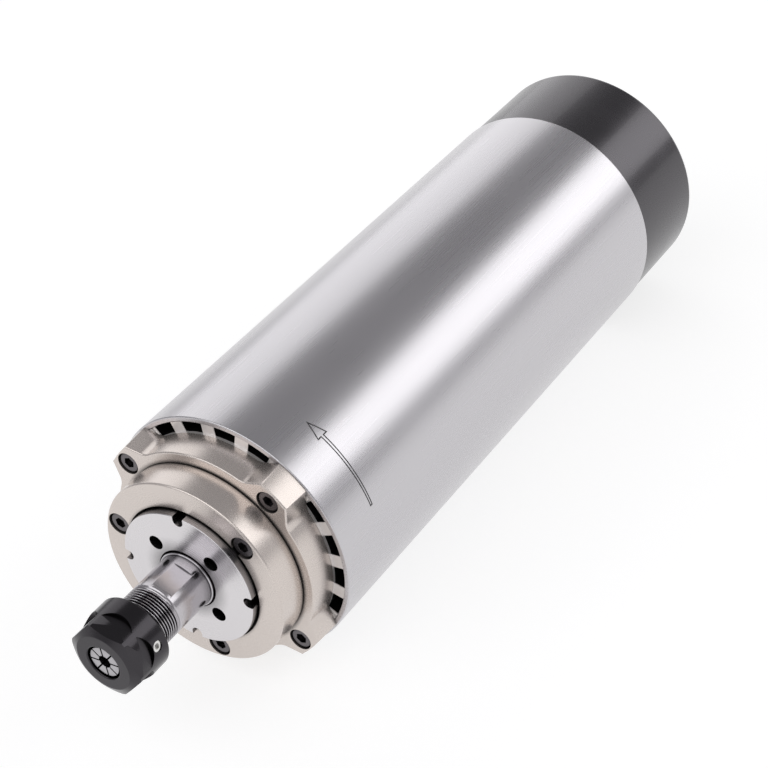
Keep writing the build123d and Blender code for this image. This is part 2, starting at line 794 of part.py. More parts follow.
def rear_cover():
    """The black cap on the back: intake slots, screw bosses and a hole for the socket."""
    inner_r = flush_r - cover_wall
    spigot_r = sleeve_inner_r - slip_fit
    cover = tube(0, flush_r, sleeve_length, cover_end)
    cover = fillet(rim(cover, flush_r, cover_end), cover_edge_round)
    cover -= tube(0, inner_r, sleeve_length, end_wall_y)
    spigot_start = sleeve_length - cover_spigot_length
    cover += tube(spigot_r - cover_spigot_wall, spigot_r, spigot_start, sleeve_length + cover_wall)
    for a in around(post_count, post_phase):
        cover += rod(boss_diameter / 2, post_end, end_wall_y, post_r, a)
    intake_r = sleeve_r - intake_edge
    for a in around(intake_slot_count):
        cover -= slot_block(intake_width, intake_inner / 2, intake_r, end_wall_y, cover_end, a)
    for a in around(post_count, post_phase):
        cover -= rod(screw_r + screw_clearance, post_end, cover_end, post_r, a)
        cover -= rod(head_r + head_gap, pan_seat_y, cover_end, post_r, a)
    return cover - rod(socket_neck_diameter / 2 + slip_fit, end_wall_y, cover_end)


def cover_screws():
    """The screws that hold the rear cover to the posts."""
    head_y = pan_seat_y + pan_head_height
    solids = []
    for a in around(post_count, post_phase):
        screw = rod(head_r, pan_seat_y, head_y, post_r, a)
        screw += rod(screw_r, post_end - tap_depth + tip_gap, pan_seat_y, post_r, a)
        key = hexagon(pan_key_width, head_y - pan_key_depth, head_y, post_r, a)
        solids.append(screw - key)
    return solids


def socket_shell():
    """The metal shell of the panel socket: flange outside, threaded barrel behind it."""
    flange_end = cover_end + socket_flange_length
    shell = tube(0, socket_neck_diameter / 2, socket_front_y, cover_end)
    shell += tube(0, socket_flange_diameter / 2, cover_end, flange_end)
    shell += tube(0, socket_thread_diameter / 2, flange_end, socket_end)
    shell = chamfer(rim(shell, socket_thread_diameter / 2, socket_end), socket_edge)
    return shell - tube(0, socket_bore / 2, socket_front_y, socket_end)


def socket_nut():
    """The nut that clamps the socket to the cover's end wall, inside the cover."""
    start = end_wall_y - socket_nut_length
    nut = hexagon(socket_nut_width, start, end_wall_y)
    return nut - tube(0, socket_neck_diameter / 2 + slip_fit, start, end_wall_y)


def socket_insert():
    """The plastic block that holds the socket's pins."""
    insert = tube(0, socket_bore / 2 - slip_fit, insert_start, insert_end)
    for a in around(pin_count, pin_phase):
        insert -= rod(pin_diameter / 2 + slip_fit, insert_start, insert_end, pin_circle / 2, a)
    return insert


def socket_pins():
    """The contact pins, each with a solder cup at its inner end."""
    solids = []
    for a in around(pin_count, pin_phase):
        pin = rod(pin_diameter / 2, insert_start, socket_end - pin_recess, pin_circle / 2, a)
        pin += rod(cup_diameter / 2, cup_end, insert_start, pin_circle / 2, a)
        solids.append(pin)
    return solids


def lead_wires():
    """The insulated leads, each in its own plane, from a solder cup round the fan to the windings."""
    turn_y = (fan_stud_end + cup_end) / 2
    solids = []
    for a in around(pin_count, pin_phase):
        x, z = (pin_circle / 2 * f(radians(a)) for f in (sin, cos))
        route = FilletPolyline(
            (x, coil_end - lead_start, lead_reach),
            (x, turn_y, lead_reach),
            (x, turn_y, z),
            (x, cup_end, z),
            radius=min(lead_bend, (cup_end - turn_y) * 0.9),
        )
        start = Plane(origin=route @ 0, z_dir=route % 0)
        solids.append(sweep(start * Circle(lead_diameter / 2), path=route))
    return solids


front_pair = [
    Bearing(front_bore, front_outer, front_width, front_ball_count, front_bearing_y + i * front_width)
    for i in range(2)
]
rear_bearing = Bearing(rear_bore, rear_outer, rear_width, rear_ball_count, rear_bearing_y)
bell_screws, cap_screws = nose_screws()

nodes = {
    "outer_sleeve": outer_sleeve(),
    "stator_housing": stator_housing(),
    "front_end_bell": front_end_bell(),
    "bell_screws": bell_screws,
    "bearing_cap": bearing_cap(),
    "cap_screws": cap_screws,
    "lock_ring": lock_ring(),
    "stator_core": stator_core(),
    "stator_windings": stator_windings(),
    "front_outer_races": [b.outer_race() for b in front_pair],
    "rear_outer_race": rear_bearing.outer_race(),
    "rear_bracket": rear_bracket(),
    "preload_spring": preload_spring(),
    "bracket_posts": posts(),
    "rear_cover": rear_cover(),
    "cover_screws": cover_screws(),
    "socket_shell": socket_shell(),
    "socket_nut": socket_nut(),
    "socket_insert": socket_insert(),
    "socket_pins": socket_pins(),
    "lead_wires": lead_wires(),
    "shaft": shaft(),
    "front_inner_races": [b.inner_race() for b in front_pair],
    "rear_inner_race": rear_bearing.inner_race(),
    "bearing_lock_nut": bearing_lock_nut(),
    "rotor_core": tube(core_bore / 2 + slip_fit, rotor_diameter / 2, stator_start, stator_end),
    "rotor_end_rings": rotor_end_rings(),
    "cooling_fan": cooling_fan(),
    "fan_nut": fan_nut(),
    "collet": collet(),
    "collet_nut": collet_nut(),
    "balance_screws": balance_screws(),
}
for label, bearing in (("front", front_pair[0]), ("second", front_pair[1]), ("rear", rear_bearing)):
    nodes[f"{label}_cage"] = bearing.cage()
    nodes[f"{label}_balls"] = bearing.ball_set()

os.makedirs("parts", exist_ok=True)
for name, shape in nodes.items():
    solids = shape if isinstance(shape, list) else [shape]
    export_step(Compound(children=[s.solid() for s in solids]), f"parts/{name}.step")
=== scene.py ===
"""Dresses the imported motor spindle: turned, milled, cast and moulded surfaces, finishes, light and camera.

Sizes are in millimetres and become metres when a piece is finished. The spindle's axis is Y, its nose points
to -Y, and angles run from +Z towards +X.
"""

import logging
import math
from collections.abc import Callable, Sequence
from dataclasses import dataclass
from enum import Enum
from functools import cache

import bmesh
import bpy
import numpy as np
from mathutils import Matrix, Vector


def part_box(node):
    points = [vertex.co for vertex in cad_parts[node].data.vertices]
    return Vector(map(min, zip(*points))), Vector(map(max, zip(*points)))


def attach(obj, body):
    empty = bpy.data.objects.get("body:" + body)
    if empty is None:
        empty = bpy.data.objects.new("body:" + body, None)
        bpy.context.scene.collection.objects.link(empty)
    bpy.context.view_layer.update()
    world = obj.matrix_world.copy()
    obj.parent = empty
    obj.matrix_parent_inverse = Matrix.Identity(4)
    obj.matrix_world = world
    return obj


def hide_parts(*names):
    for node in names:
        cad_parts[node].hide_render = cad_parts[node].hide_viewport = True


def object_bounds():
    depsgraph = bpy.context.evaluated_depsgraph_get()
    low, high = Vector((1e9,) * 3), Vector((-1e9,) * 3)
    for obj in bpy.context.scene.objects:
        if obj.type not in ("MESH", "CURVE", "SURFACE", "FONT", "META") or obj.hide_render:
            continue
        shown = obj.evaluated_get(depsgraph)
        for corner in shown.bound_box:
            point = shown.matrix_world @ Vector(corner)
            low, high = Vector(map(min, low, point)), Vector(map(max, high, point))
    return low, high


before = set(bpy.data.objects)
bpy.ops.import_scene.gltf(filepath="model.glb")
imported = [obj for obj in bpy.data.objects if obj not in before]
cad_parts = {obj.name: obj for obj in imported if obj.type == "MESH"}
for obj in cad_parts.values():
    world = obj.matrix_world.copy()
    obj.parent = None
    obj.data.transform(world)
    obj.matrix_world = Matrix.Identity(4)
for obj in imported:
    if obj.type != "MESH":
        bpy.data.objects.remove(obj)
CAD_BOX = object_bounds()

Array = np.ndarray
Socket = bpy.types.NodeSocket
Tree = bpy.types.NodeTree
Inputs = dict[str | int, Socket | float | tuple]
Radius = Callable[[Array, Array, Array], Array]

MM = 0.001
TURN_STEPS = 192  # columns of points round a turned surface
FINE_STEPS = 256  # round one whose outline shows against the light
ARC_STEPS = 4  # facets of a rounded corner
CREASE = 35.0  # degrees between two faces past which their edge stays sharp
SAME_PLACE = 1e-4  # between two points that are one
SAME_RADIUS = 0.01  # between a thread's radius and that of a point on its stretch
THREAD_ROWS = 8  # rows of points on one pitch of a thread
PAST = 1.0  # that a cutter reaches past the face it opens
SLIP = 0.02  # between a piece and the hole it sits in
BROKEN_EDGE = 0.12  # of castings and turned pieces
SCREW_EDGE = 0.08
WIDE_EDGE = 0.15  # of the nut and the cover
PAINTED_SHADE_COLOUR = "#141213"  # painted shade that darkens gaps, recesses and thread roots
PAINTED_SHADE_FALL = 2.0  # the power of the ambient occlusion's share that keeps a surface free of painted shade
LINE_LENGTH = 60  # of a brushed line, in its own widths
NOISE_LOW, NOISE_HIGH = 0.6, 1.4  # of two noises together, where the roughness ends its spread
QUARTER_TURN = 0.25  # turns the stretched lights across the rings

log = logging.getLogger("spindle")


@dataclass(frozen=True)
class Extent:
    """Where a CAD node lies along the spindle's axis, and how far it reaches from it."""

    front: float
    back: float
    radius: float

    @classmethod
    def of(cls, node: str) -> "Extent":
        """Reads a node's box from the frame.

        Args:
            node: the CAD node's name.

        Returns:
            Its front and back y and its largest distance from the axis along X or Z.
        """
        low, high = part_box(node)
        return cls(low.y / MM, high.y / MM, max(high.x, high.z, -low.x, -low.z) / MM)


@dataclass
class Shell:
    """A surface in millimetres: its points, one row each, and its faces as numbers of points."""

    points: Array
    faces: Array

    def upright(self, slide: float) -> "Shell":
        """Stands the shell up, so that its Y runs along Z and its Z towards -Y, and moves it along Y."""
        return Shell(self.points[:, [0, 2, 1]] * (1, -1, 1) + (0.0, slide, 0.0), self.faces)

    def flipped(self) -> "Shell":
        """Turns the shell end for end: its Y is reversed."""
        return Shell(self.points * (1, -1, 1), self.faces)

    def placed(self, reach: float = 0.0, angle: float = 0.0, slide: float = 0.0) -> "Shell":
        """Moves the shell outwards along Z and along Y, then turns it about the spindle's axis.

        Args:
            reach: distance from the axis.
            angle: degrees round the axis, from +Z towards +X.
            slide: distance along Y.

        Returns:
            The shell in its new place: x' = x cos a + z sin a and z' = z cos a - x sin a.
        """
        x, y, z = (self.points + (0.0, slide, reach)).T
        c, s = math.cos(math.radians(angle)), math.sin(math.radians(angle))
        return Shell(np.stack([x * c + z * s, y, z * c - x * s], axis=1), self.faces)

    def ring(self, angles: Array, reach: float = 0.0, slide: float = 0.0) -> "list[Shell]":
        """The shell placed at each of those angles, all at one distance from the axis."""
        return [self.placed(reach, a, slide) for a in angles]

    @staticmethod
    def joined(shells: Sequence["Shell"]) -> "Shell":
        """Puts several shells into one, each with its faces counted on from the points before it."""
        starts = np.cumsum([0, *(len(s.points) for s in shells[:-1])])
        faces = [s.faces + start for s, start in zip(shells, starts)]
        return Shell(np.vstack([s.points for s in shells]), np.vstack(faces))


def around(count: int, phase: float = 0.0) -> Array:
    """Equally spaced angles round the axis, in degrees: phase + 360 i / count."""
    return phase + 360.0 * np.arange(count) / count


def arc(radius: float, angle: Array) -> Array:
    """Points of a circle, as rows of (x, z), at angles in radians: (radius sin a, radius cos a)."""
    return radius * np.stack([np.sin(angle), np.cos(angle)], axis=1)


def polar(radius: Array | float, y: Array | float, angle: Array) -> Array:
    """Points (radius sin a, y, radius cos a), for each radius, y and angle in radians that belong together."""
    return np.stack(np.broadcast_arrays(radius * np.sin(angle), y, radius * np.cos(angle)), axis=-1)


def grid(points: Array, wrap_rows: bool, wrap_columns: bool) -> Shell:
    """Makes a shell of a grid of points.

    Args:
        points: rows by columns by 3.
        wrap_rows: whether the last row is joined to the first.
        wrap_columns: whether the last column is joined to the first.

    Returns:
        A shell of four-sided faces, each between (i, j), (i + 1, j), (i + 1, j + 1) and (i, j + 1).
    """
    rows, columns = points.shape[:2]
    i = np.arange(rows - (not wrap_rows))[:, None] * columns
    j = np.arange(columns - (not wrap_columns))
    down, right = (i + columns) % (rows * columns), (j + 1) % columns
    faces = np.stack([i + j, down + j, down + right, i + right], axis=-1)
    return Shell(points.reshape(-1, 3), faces.reshape(-1, 4))


def rounded(corners: Sequence[tuple[float, ...]], closed: bool = True) -> Array:
    """Rounds an outline's corners with arcs tangent to both sides.

    The arc of radius q starts q / tan(h) from its corner, where h is half the corner's angle, its centre lies
    q / sin(h) along the bisector, and its points are the start turned about the centre in equal steps.

    Args:
        corners: (radius, y) or (radius, y, rounding), in order.
        closed: whether the last corner is joined to the first. An open outline's ends stay as they are.

    Returns:
        The outline's points, as rows of (radius, y).
    """
    at = np.array([c[:2] for c in corners], float)
    size = np.array([c[2] if len(c) > 2 else 0.0 for c in corners])
    if not closed:
        size[[0, -1]] = 0.0
    before, after = np.roll(at, 1, axis=0) - at, np.roll(at, -1, axis=0) - at
    before /= np.linalg.norm(before, axis=1, keepdims=True)
    after /= np.linalg.norm(after, axis=1, keepdims=True)
    half = np.arccos(np.clip((before * after).sum(axis=1), -1, 1)) / 2
    rows = []
    for p, q, b, a, h in zip(at, size, before, after, half):
        if q <= 0:
            rows.append(p[None])
            continue
        start, middle = p + b * q / math.tan(h), p + (b + a) / np.linalg.norm(b + a) * q / math.sin(h)
        turn = math.copysign(math.pi - 2 * h, b[1] * a[0] - b[0] * a[1]) * np.linspace(0, 1, ARC_STEPS + 1)
        c, s, arm = np.cos(turn), np.sin(turn), start - middle
        rows.append(middle + np.stack([arm[0] * c - arm[1] * s, arm[0] * s + arm[1] * c], axis=1))
    return np.vstack(rows)


def turned(
    profile: Array, steps: int = TURN_STEPS, closed: bool = True, carve: Radius | None = None
) -> Shell:
    """Turns an outline about the spindle's axis.

    Point (i, j) is (r sin a, y, r cos a), with r and y from row i and a = j / steps of a turn.

    Args:
        profile: rows of (radius, y).
        steps: columns round the axis.
        closed: whether the outline is a loop. An open one starts and ends on the axis.
        carve: gives each point's radius from its radius, y and angle in radians.

    Returns:
        The turned shell.
    """
    angle = np.linspace(0, 2 * math.pi, steps, endpoint=False)[None, :]
    radius, y = profile[:, :1], profile[:, 1:]
    if carve:
        radius = carve(radius, y, angle)
    return grid(polar(radius, y, angle), wrap_rows=closed, wrap_columns=True)


@dataclass(frozen=True)
class Thread:
    """A right-hand thread on the stretch of a turned surface that has its radius."""

    radius: float
    pitch: float
    depth: float
    front: float
    back: float
    steepness: float = 1.0  # of its flanks, where 1 is a plain triangle wave
    crest: float = 0.0  # share of the wave that is cut off to flatten the crests

    def carve(self, radius: Array, y: Array, angle: Array) -> Array:
        """Sinks the thread into the surface.

        The depth is a triangle wave of the phase y / pitch - angle / a turn, made steeper and cut off at the
        crests and roots, and it fades in over one pitch at each end.

        Args:
            radius: the surface's radius at each point.
            y: the points' places along the axis.
            angle: their angles in radians.

        Returns:
            The new radius at each point.
        """
        phase = np.mod(y / self.pitch - angle / (2 * math.pi), 1.0)
        wave = np.clip(np.abs(2 * phase - 1) * self.steepness - self.crest, 0, 1)
        fade = np.clip(np.minimum(y - self.front, self.back - y) / self.pitch, 0, 1)
        return radius - (np.abs(radius - self.radius) < SAME_RADIUS) * fade * self.depth * wave


def prism(outline: Array, start: float, end: float) -> Shell:
    """Carries an outline straight along Y and closes its ends with fans round their middles.

    Args:
        outline: rows of (x, z), seen whole from their mean.
        start: y of the first end.
        end: y of the other.

    Returns:
        The closed shell: rows middle, outline, outline, middle at start, start, end, end.
    """
    middle = np.broadcast_to(outline.mean(axis=0), outline.shape)
    rows = np.stack([middle, outline, outline, middle])
    y = np.broadcast_to(np.array([start, start, end, end])[:, None, None], (4, len(outline), 1))
    points = np.concatenate([rows[..., :1], y, rows[..., 1:]], axis=-1)
    return grid(points, wrap_rows=False, wrap_columns=True)


def rod(radius: float, start: float, end: float, steps: int = 48) -> Shell:
    """A round bar on the axis: a circle carried along Y."""
    return prism(arc(radius, np.radians(around(steps))), start, end)


def hexagon(width: float, start: float, end: float) -> Shell:
    """A six-sided bar of that width across flats: a circle of radius width / (2 cos 30) in six steps."""
    return rod(width / 2 / math.cos(math.radians(30)), start, end, steps=6)


def block(width: float, start: float, end: float, inner: float, outer: float) -> Shell:
    """A straight block: x within half its width, y from start to end and z from inner to outer."""
    half = width / 2
    return prism(np.array([(-half, inner), (half, inner), (half, outer), (-half, outer)]), start, end)


def slot(radius: float, length: float, start: float, end: float, steps: int = 32) -> Shell:
    """A slot cutter with one round end: half a circle at the axis, and straight sides up to z = length."""
    low = arc(radius, np.linspace(0.5, 1.5, steps + 1) * math.pi)
    return prism(np.vstack([low, [(-radius, length), (radius, length)]]), start, end)


def added(name: str, data: bpy.types.ID) -> bpy.types.Object:
    """Puts a new object into the scene.

    Args:
        name: its name.
        data: its mesh, lamp or camera.

    Returns:
        The object.
    """
    made = bpy.data.objects.new(name, data)
    bpy.context.scene.collection.objects.link(made)
    return made


class Piece:
    def __init__(self, name: str, shell: Shell) -> None:
        """Makes the mesh, merges its doubled points and turns its faces outwards."""
        self.name = name
        self.object = added(name, self._mesh(name, shell))

    @staticmethod
    def _mesh(name: str, shell: Shell) -> bpy.types.Mesh:
        """Puts a shell into a mesh, closed at its poles and with its faces outwards."""
        mesh = bpy.data.meshes.new(name)
        mesh.from_pydata(shell.points.tolist(), [], shell.faces.tolist())
        work = bmesh.new()
        work.from_mesh(mesh)
        bmesh.ops.remove_doubles(work, verts=work.verts, dist=SAME_PLACE)
        bmesh.ops.recalc_face_normals(work, faces=work.faces)
        work.to_mesh(mesh)
        work.free()
        return mesh

    def _bake(self) -> None:
        """Puts what the modifiers make of the mesh in its place."""
        graph = bpy.context.evaluated_depsgraph_get()
        made = bpy.data.meshes.new_from_object(self.object.evaluated_get(graph))
        old = self.object.data
        self.object.modifiers.clear()
        self.object.data = made
        bpy.data.meshes.remove(old)

    def _clean(self) -> None:
        """Merges doubled points, then takes out the edges and faces of no size that cuts and bevels leave."""
        work = bmesh.new()
        work.from_mesh(self.object.data)
        bmesh.ops.remove_doubles(work, verts=work.verts, dist=SAME_PLACE)
        bmesh.ops.dissolve_degenerate(work, dist=SAME_PLACE, edges=work.edges)
        work.to_mesh(self.object.data)
        work.free()

    def cut(self, *tools: Shell) -> "Piece":
        """Takes tools that don't touch each other out of the piece, all in one pass.

        Args:
            tools: the closed shells to take away.

        Returns:
            The piece itself.
        """
        cutter = added("cutter", self._mesh("cutter", Shell.joined(tools)))
        step = self.object.modifiers.new("cut", "BOOLEAN")
        step.operation, step.solver, step.object = "DIFFERENCE", "EXACT", cutter
        self._bake()
        mesh = cutter.data
        bpy.data.objects.remove(cutter)
        bpy.data.meshes.remove(mesh)
        return self

    def finish(self, body: str, look: "Finish", replaces: Sequence[str] = (), edge: float = 0.0) -> None:
        """Breaks the edges, shades the piece, brings it to metres and hangs it on its body.

        Args:
            body: the CAD body that it rides on.
            look: its finish.
            replaces: the CAD nodes that it stands for.
            edge: width of the bevel on its sharp edges, in millimetres.
        """
        if edge:
            bevel = self.object.modifiers.new("edge", "BEVEL")
            bevel.width, bevel.segments, bevel.limit_method = edge, 2, "ANGLE"
            bevel.angle_limit, bevel.offset_type = math.radians(CREASE), "OFFSET"
            self._bake()
        self._clean()
        mesh = self.object.data
        mesh.polygons.foreach_set("use_smooth", np.ones(len(mesh.polygons), bool))
        mesh.set_sharp_from_angle(angle=math.radians(CREASE))
        weighted = self.object.modifiers.new("shade", "WEIGHTED_NORMAL")
        weighted.keep_sharp, weighted.weight = True, 100
        self._bake()
        mesh = self.object.data
        mesh.name = self.name
        mesh.transform(Matrix.Scale(MM, 4))
        mesh.materials.clear()
        mesh.materials.append(look.material())
        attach(self.object, body)
        if replaces:
            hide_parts(*replaces)
        log.info("%s: %d faces on %s", self.name, len(mesh.polygons), body)


def linear(code: str) -> tuple[float, float, float, float]:
    """Turns an sRGB hex value into linear light, by the sRGB curve: ((c + 0.055) / 1.055) to the power 2.4.

    Args:
        code: six hex digits after a hash.

    Returns:
        Linear red, green and blue, and an alpha of 1.
    """
    parts = [int(code[i : i + 2], 16) / 255 for i in (1, 3, 5)]
    red, green, blue = (c / 12.92 if c <= 0.04045 else ((c + 0.055) / 1.055) ** 2.4 for c in parts)
    return red, green, blue, 1.0


def add_node(
    tree: Tree, kind: str, inputs: Inputs | None = None, **settings: object
) -> bpy.types.Node:
    """Adds a node with its settings, values and links.

    Args:
        tree: the node tree that it goes into.
        kind: the node's type.
        inputs: for each input's name or number, the socket linked to it or its constant.
        settings: the node's own properties.

    Returns:
        The new node.
    """
    node = tree.nodes.new(kind)
    for name, value in settings.items():
        setattr(node, name, value)
    for name, value in (inputs or {}).items():
        if isinstance(value, bpy.types.NodeSocket):
            tree.links.new(value, node.inputs[name])
        else:
            node.inputs[name].default_value = value
    return node


def cleared(owner: bpy.types.Material | bpy.types.World) -> Tree:
    """Switches on a material's or world's nodes and empties its tree.

    Args:
        owner: the material or world.

    Returns:
        Its empty node tree.
    """
    owner.use_nodes = True
    owner.node_tree.nodes.clear()
    return owner.node_tree


def combined(tree: Tree, operation: str, first: Socket | float, second: Socket | float) -> Socket:
    """One number worked out from two."""
    return add_node(tree, "ShaderNodeMath", {0: first, 1: second}, operation=operation).outputs[0]


def blended(tree: Tree, share: Socket, first: Socket | tuple, second: Socket | tuple) -> Socket:
    """The first colour where the share is 0, the second where it is 1."""
    return add_node(tree, "ShaderNodeMix", {0: share, 6: first, 7: second}, data_type="RGBA").outputs[2]


class Marks(Enum):
    """How a surface was made, which sets the way its fine marks run."""

    EVEN = "no direction, as blasting, casting, moulding or plating leaves it"
    ALONG = "lines along the spindle's axis, as brushing or drawing leaves them"
    ROUND = "rings round the spindle's axis, as turning or grinding leaves them"
    STACKED = "thin layers across the spindle's axis, as stamped sheets or wound turns leave them"


@dataclass(frozen=True)
class Finish:
    """A finish: its colour and shine, and the size and depth of the marks that its making left."""

    name: str
    slot: str
    colour: str
    metallic: float = 1.0
    roughness: float = 0.35
    marks: Marks = Marks.EVEN
    grain: float = 0.2  # mm, from one mark to the next
    depth: float = 0.004  # mm, of a mark
    blotch: float = 12.0  # mm, size of the slow changes of tone
    tone: float = 0.06  # share by which the colour changes
    spread: float = 0.08  # by which the roughness changes
    anisotropy: float = 0.0
    coat: float = 0.0
    painted_shade: float = 0.0  # mm, reach of the ambient occlusion that paints shade into gaps and recesses
    dark_behind: float | None = None  # y, in mm, behind which painted shade darkens the surface
    dark_roots: tuple[float, float, float] | None = None  # mm: the radius of full painted shade, the one free of it and the last y

    @staticmethod
    def _from_axis(tree: Tree) -> tuple[Socket, Socket]:
        """Each place's distance from the spindle's axis, the length of (x, z), and its y, in metres."""
        place = add_node(tree, "ShaderNodeTexCoord").outputs["Object"]
        parts = add_node(tree, "ShaderNodeSeparateXYZ", {0: place}).outputs
        ring = add_node(tree, "ShaderNodeCombineXYZ", {0: parts["X"], 1: parts["Z"]}).outputs[0]
        length = add_node(tree, "ShaderNodeVectorMath", {0: ring}, operation="LENGTH")
        return length.outputs["Value"], parts["Y"]

    def _marked(self, tree: Tree) -> Socket:
        """The coordinates, in millimetres over the grain, that the marks are drawn in.

        EVEN uses the place itself. ALONG divides Y by the lines' length, so that each mark is a long line.
        ROUND uses the distance from the axis and y, so that each mark is a ring. STACKED uses y alone.
        """
        per = 1 / (self.grain * MM)
        if self.marks in (Marks.EVEN, Marks.ALONG):
            place = add_node(tree, "ShaderNodeTexCoord").outputs["Object"]
            scale = (per, per / LINE_LENGTH if self.marks is Marks.ALONG else per, per)
            return add_node(tree, "ShaderNodeMapping", {"Vector": place, "Scale": scale}).outputs[0]
        reach, y = self._from_axis(tree)
        across = combined(tree, "MULTIPLY", reach, 0.0 if self.marks is Marks.STACKED else per)
        down = combined(tree, "MULTIPLY", y, per)
        return add_node(tree, "ShaderNodeCombineXYZ", {0: across, 1: down}).outputs[0]

    def _dark_roots(self, tree: Tree, shade: Socket) -> Socket:
        """Paints shade into a thread, darker towards its roots.

        Args:
            tree: the material's node tree.
            shade: the colour so far.

        Returns:
            The colour: painted shade at the first distance from the axis, none from the second, in front of
                the y.
        """
        dark, unshaded_reach, end = (v * MM for v in self.dark_roots)
        reach, y = self._from_axis(tree)
        high = add_node(tree, "ShaderNodeMapRange", {0: reach, 1: dark, 2: unshaded_reach}).outputs[0]
        unshaded_part = combined(tree, "MAXIMUM", high, combined(tree, "GREATER_THAN", y, end))
        return blended(tree, unshaded_part, linear(PAINTED_SHADE_COLOUR), shade)

    @cache
    def material(self) -> bpy.types.Material:
        """Builds the material once for each finish, never by looking up a name that the frame may use too.

        Fine noise on the marked coordinates gives the bump and part of the roughness. Slow noise of the
        blotch's size changes the tone and the rest of the roughness a little.

        Returns:
            The material.
        """
        made = bpy.data.materials.new(self.name)
        tree = cleared(made)
        grain: Inputs = {"Vector": self._marked(tree), "Scale": 1.0, "Detail": 3.0, "Roughness": 0.6}
        fine = add_node(tree, "ShaderNodeTexNoise", grain).outputs[0]
        place = add_node(tree, "ShaderNodeTexCoord").outputs["Object"]
        blotches: Inputs = {"Vector": place, "Scale": 1 / (self.blotch * MM), "Detail": 2.0}
        slow = add_node(tree, "ShaderNodeTexNoise", blotches).outputs[0]
        mixed = combined(tree, "ADD", fine, slow)
        low, high = self.roughness - self.spread, self.roughness + self.spread
        spread: Inputs = {0: mixed, 1: NOISE_LOW, 2: NOISE_HIGH, 3: low, 4: high}
        rough = add_node(tree, "ShaderNodeMapRange", spread).outputs[0]
        full = linear(self.colour)
        dim = tuple(c * (1 - self.tone) for c in full[:3]) + (1.0,)
        shade, painted_shade = blended(tree, slow, dim, full), linear(PAINTED_SHADE_COLOUR)
        # Painted shade: ambient occlusion darkens gaps and recesses.
        if self.painted_shade:
            near: Inputs = {"Distance": self.painted_shade * MM}
            open_air = add_node(tree, "ShaderNodeAmbientOcclusion", near, samples=8).outputs["AO"]
            shade = blended(tree, combined(tree, "POWER", open_air, PAINTED_SHADE_FALL), painted_shade, shade)
        # Painted shade over everything behind that y.
        if self.dark_behind is not None:
            y = add_node(tree, "ShaderNodeSeparateXYZ", {0: place}).outputs["Y"]
            shade = blended(tree, combined(tree, "LESS_THAN", y, self.dark_behind * MM), painted_shade, shade)
        # Painted shade in the thread's roots.
        if self.dark_roots:
            shade = self._dark_roots(tree, shade)
        relief: Inputs = {"Height": fine, "Strength": 1.0, "Distance": self.depth * MM}
        bump = add_node(tree, "ShaderNodeBump", relief).outputs[0]
        inputs: Inputs = {
            "Base Color": shade, "Roughness": rough, "Normal": bump, "Metallic": self.metallic,
            "Anisotropic": self.anisotropy, "Coat Weight": self.coat,
        }
        if self.anisotropy:
            tangent = add_node(tree, "ShaderNodeTangent", direction_type="RADIAL", axis="Y")
            inputs["Tangent"] = tangent.outputs[0]
            inputs["Anisotropic Rotation"] = QUARTER_TURN if self.marks is Marks.ROUND else 0.0
        shader = add_node(tree, "ShaderNodeBsdfPrincipled", inputs)
        add_node(tree, "ShaderNodeOutputMaterial", {"Surface": shader.outputs[0]})
        return made


# Stainless sleeve, brushed along its length and then lightly polished: soft long bands of light.
BRUSHED_STEEL = Finish(
    "brushed_stainless_sleeve", "brushed_sleeve", "#c8c6c9", roughness=0.28, marks=Marks.ALONG, grain=0.5,
    depth=0.0002, blotch=40.0, tone=0.04, spread=0.03, anisotropy=0.3,
)
# Cast aluminium, fine-blasted and nickel plated: warm, satin, with a very fine grain.
# Painted shade darkens its gaps and screw wells.
SATIN_NICKEL = Finish(
    "satin_nickel_casting", "nickel_casting", "#d8cfc9", metallic=0.8, roughness=0.27, grain=0.25,
    depth=0.0008, tone=0.05, spread=0.04, painted_shade=1.2,
)
# Aluminium faced on a lathe: rings too fine to count, so that light fans out from the centre. They are drawn
# about three times as coarse as a real cut so that they show.
# Painted shade darkens its notches and pin holes.
TURNED_ALUMINIUM = Finish(
    "lathe_faced_aluminium", "turned_aluminium", "#dad7d9", roughness=0.26, marks=Marks.ROUND, grain=0.35,
    depth=0.003, tone=0.05, spread=0.05, anisotropy=0.65, painted_shade=5.0,
)
# Steel ground between centres: bright, with faint rings.
# Painted shade darkens its tight corners and the roots of its thread.
GROUND_STEEL = Finish(
    "ground_shaft_steel", "ground_steel", "#c2bfc3", roughness=0.19, marks=Marks.ROUND, grain=0.3,
    depth=0.0008, tone=0.05, spread=0.04, painted_shade=0.5, dark_roots=(6.72, 6.99, -30.1),
)
# Hardened steel with an oiled black oxide skin: nearly black, satin, with soft grey lights.
# Painted shade darkens its hollows.
BLACK_OXIDE = Finish(
    "oiled_black_oxide", "black_oxide", "#434144", roughness=0.21, grain=0.3, depth=0.0015, blotch=6.0,
    tone=0.12, spread=0.05, painted_shade=1.5,
)
# Spring steel, hardened and ground.
# Painted shade darkens its slots and hollows.
COLLET_STEEL = Finish("ground_spring_steel", "collet_steel", "#b2b0b3", roughness=0.24, depth=0.002, painted_shade=1.5)
# Dark zinc on the heads of the socket screws.
# Painted shade darkens their key holes and wells.
SCREW_STEEL = Finish(
    "dark_zinc_screws", "screw_steel", "#6a6668", roughness=0.26, depth=0.002, blotch=3.0, painted_shade=0.9,
)
# Bright zinc on set screws, posts and nuts.
BRIGHT_ZINC = Finish(
    "bright_zinc_plating", "bright_zinc", "#dcdbd9", roughness=0.18, grain=0.2, depth=0.002, blotch=3.0,
)
# Aluminium cover, dyed black and sealed: it takes broad grey lights and stays black between them.
BLACK_COVER = Finish(
    "black_anodised_cover", "black_cover", "#555356", roughness=0.27, grain=0.3, depth=0.0008, tone=0.08,
    spread=0.04, coat=0.15,
)
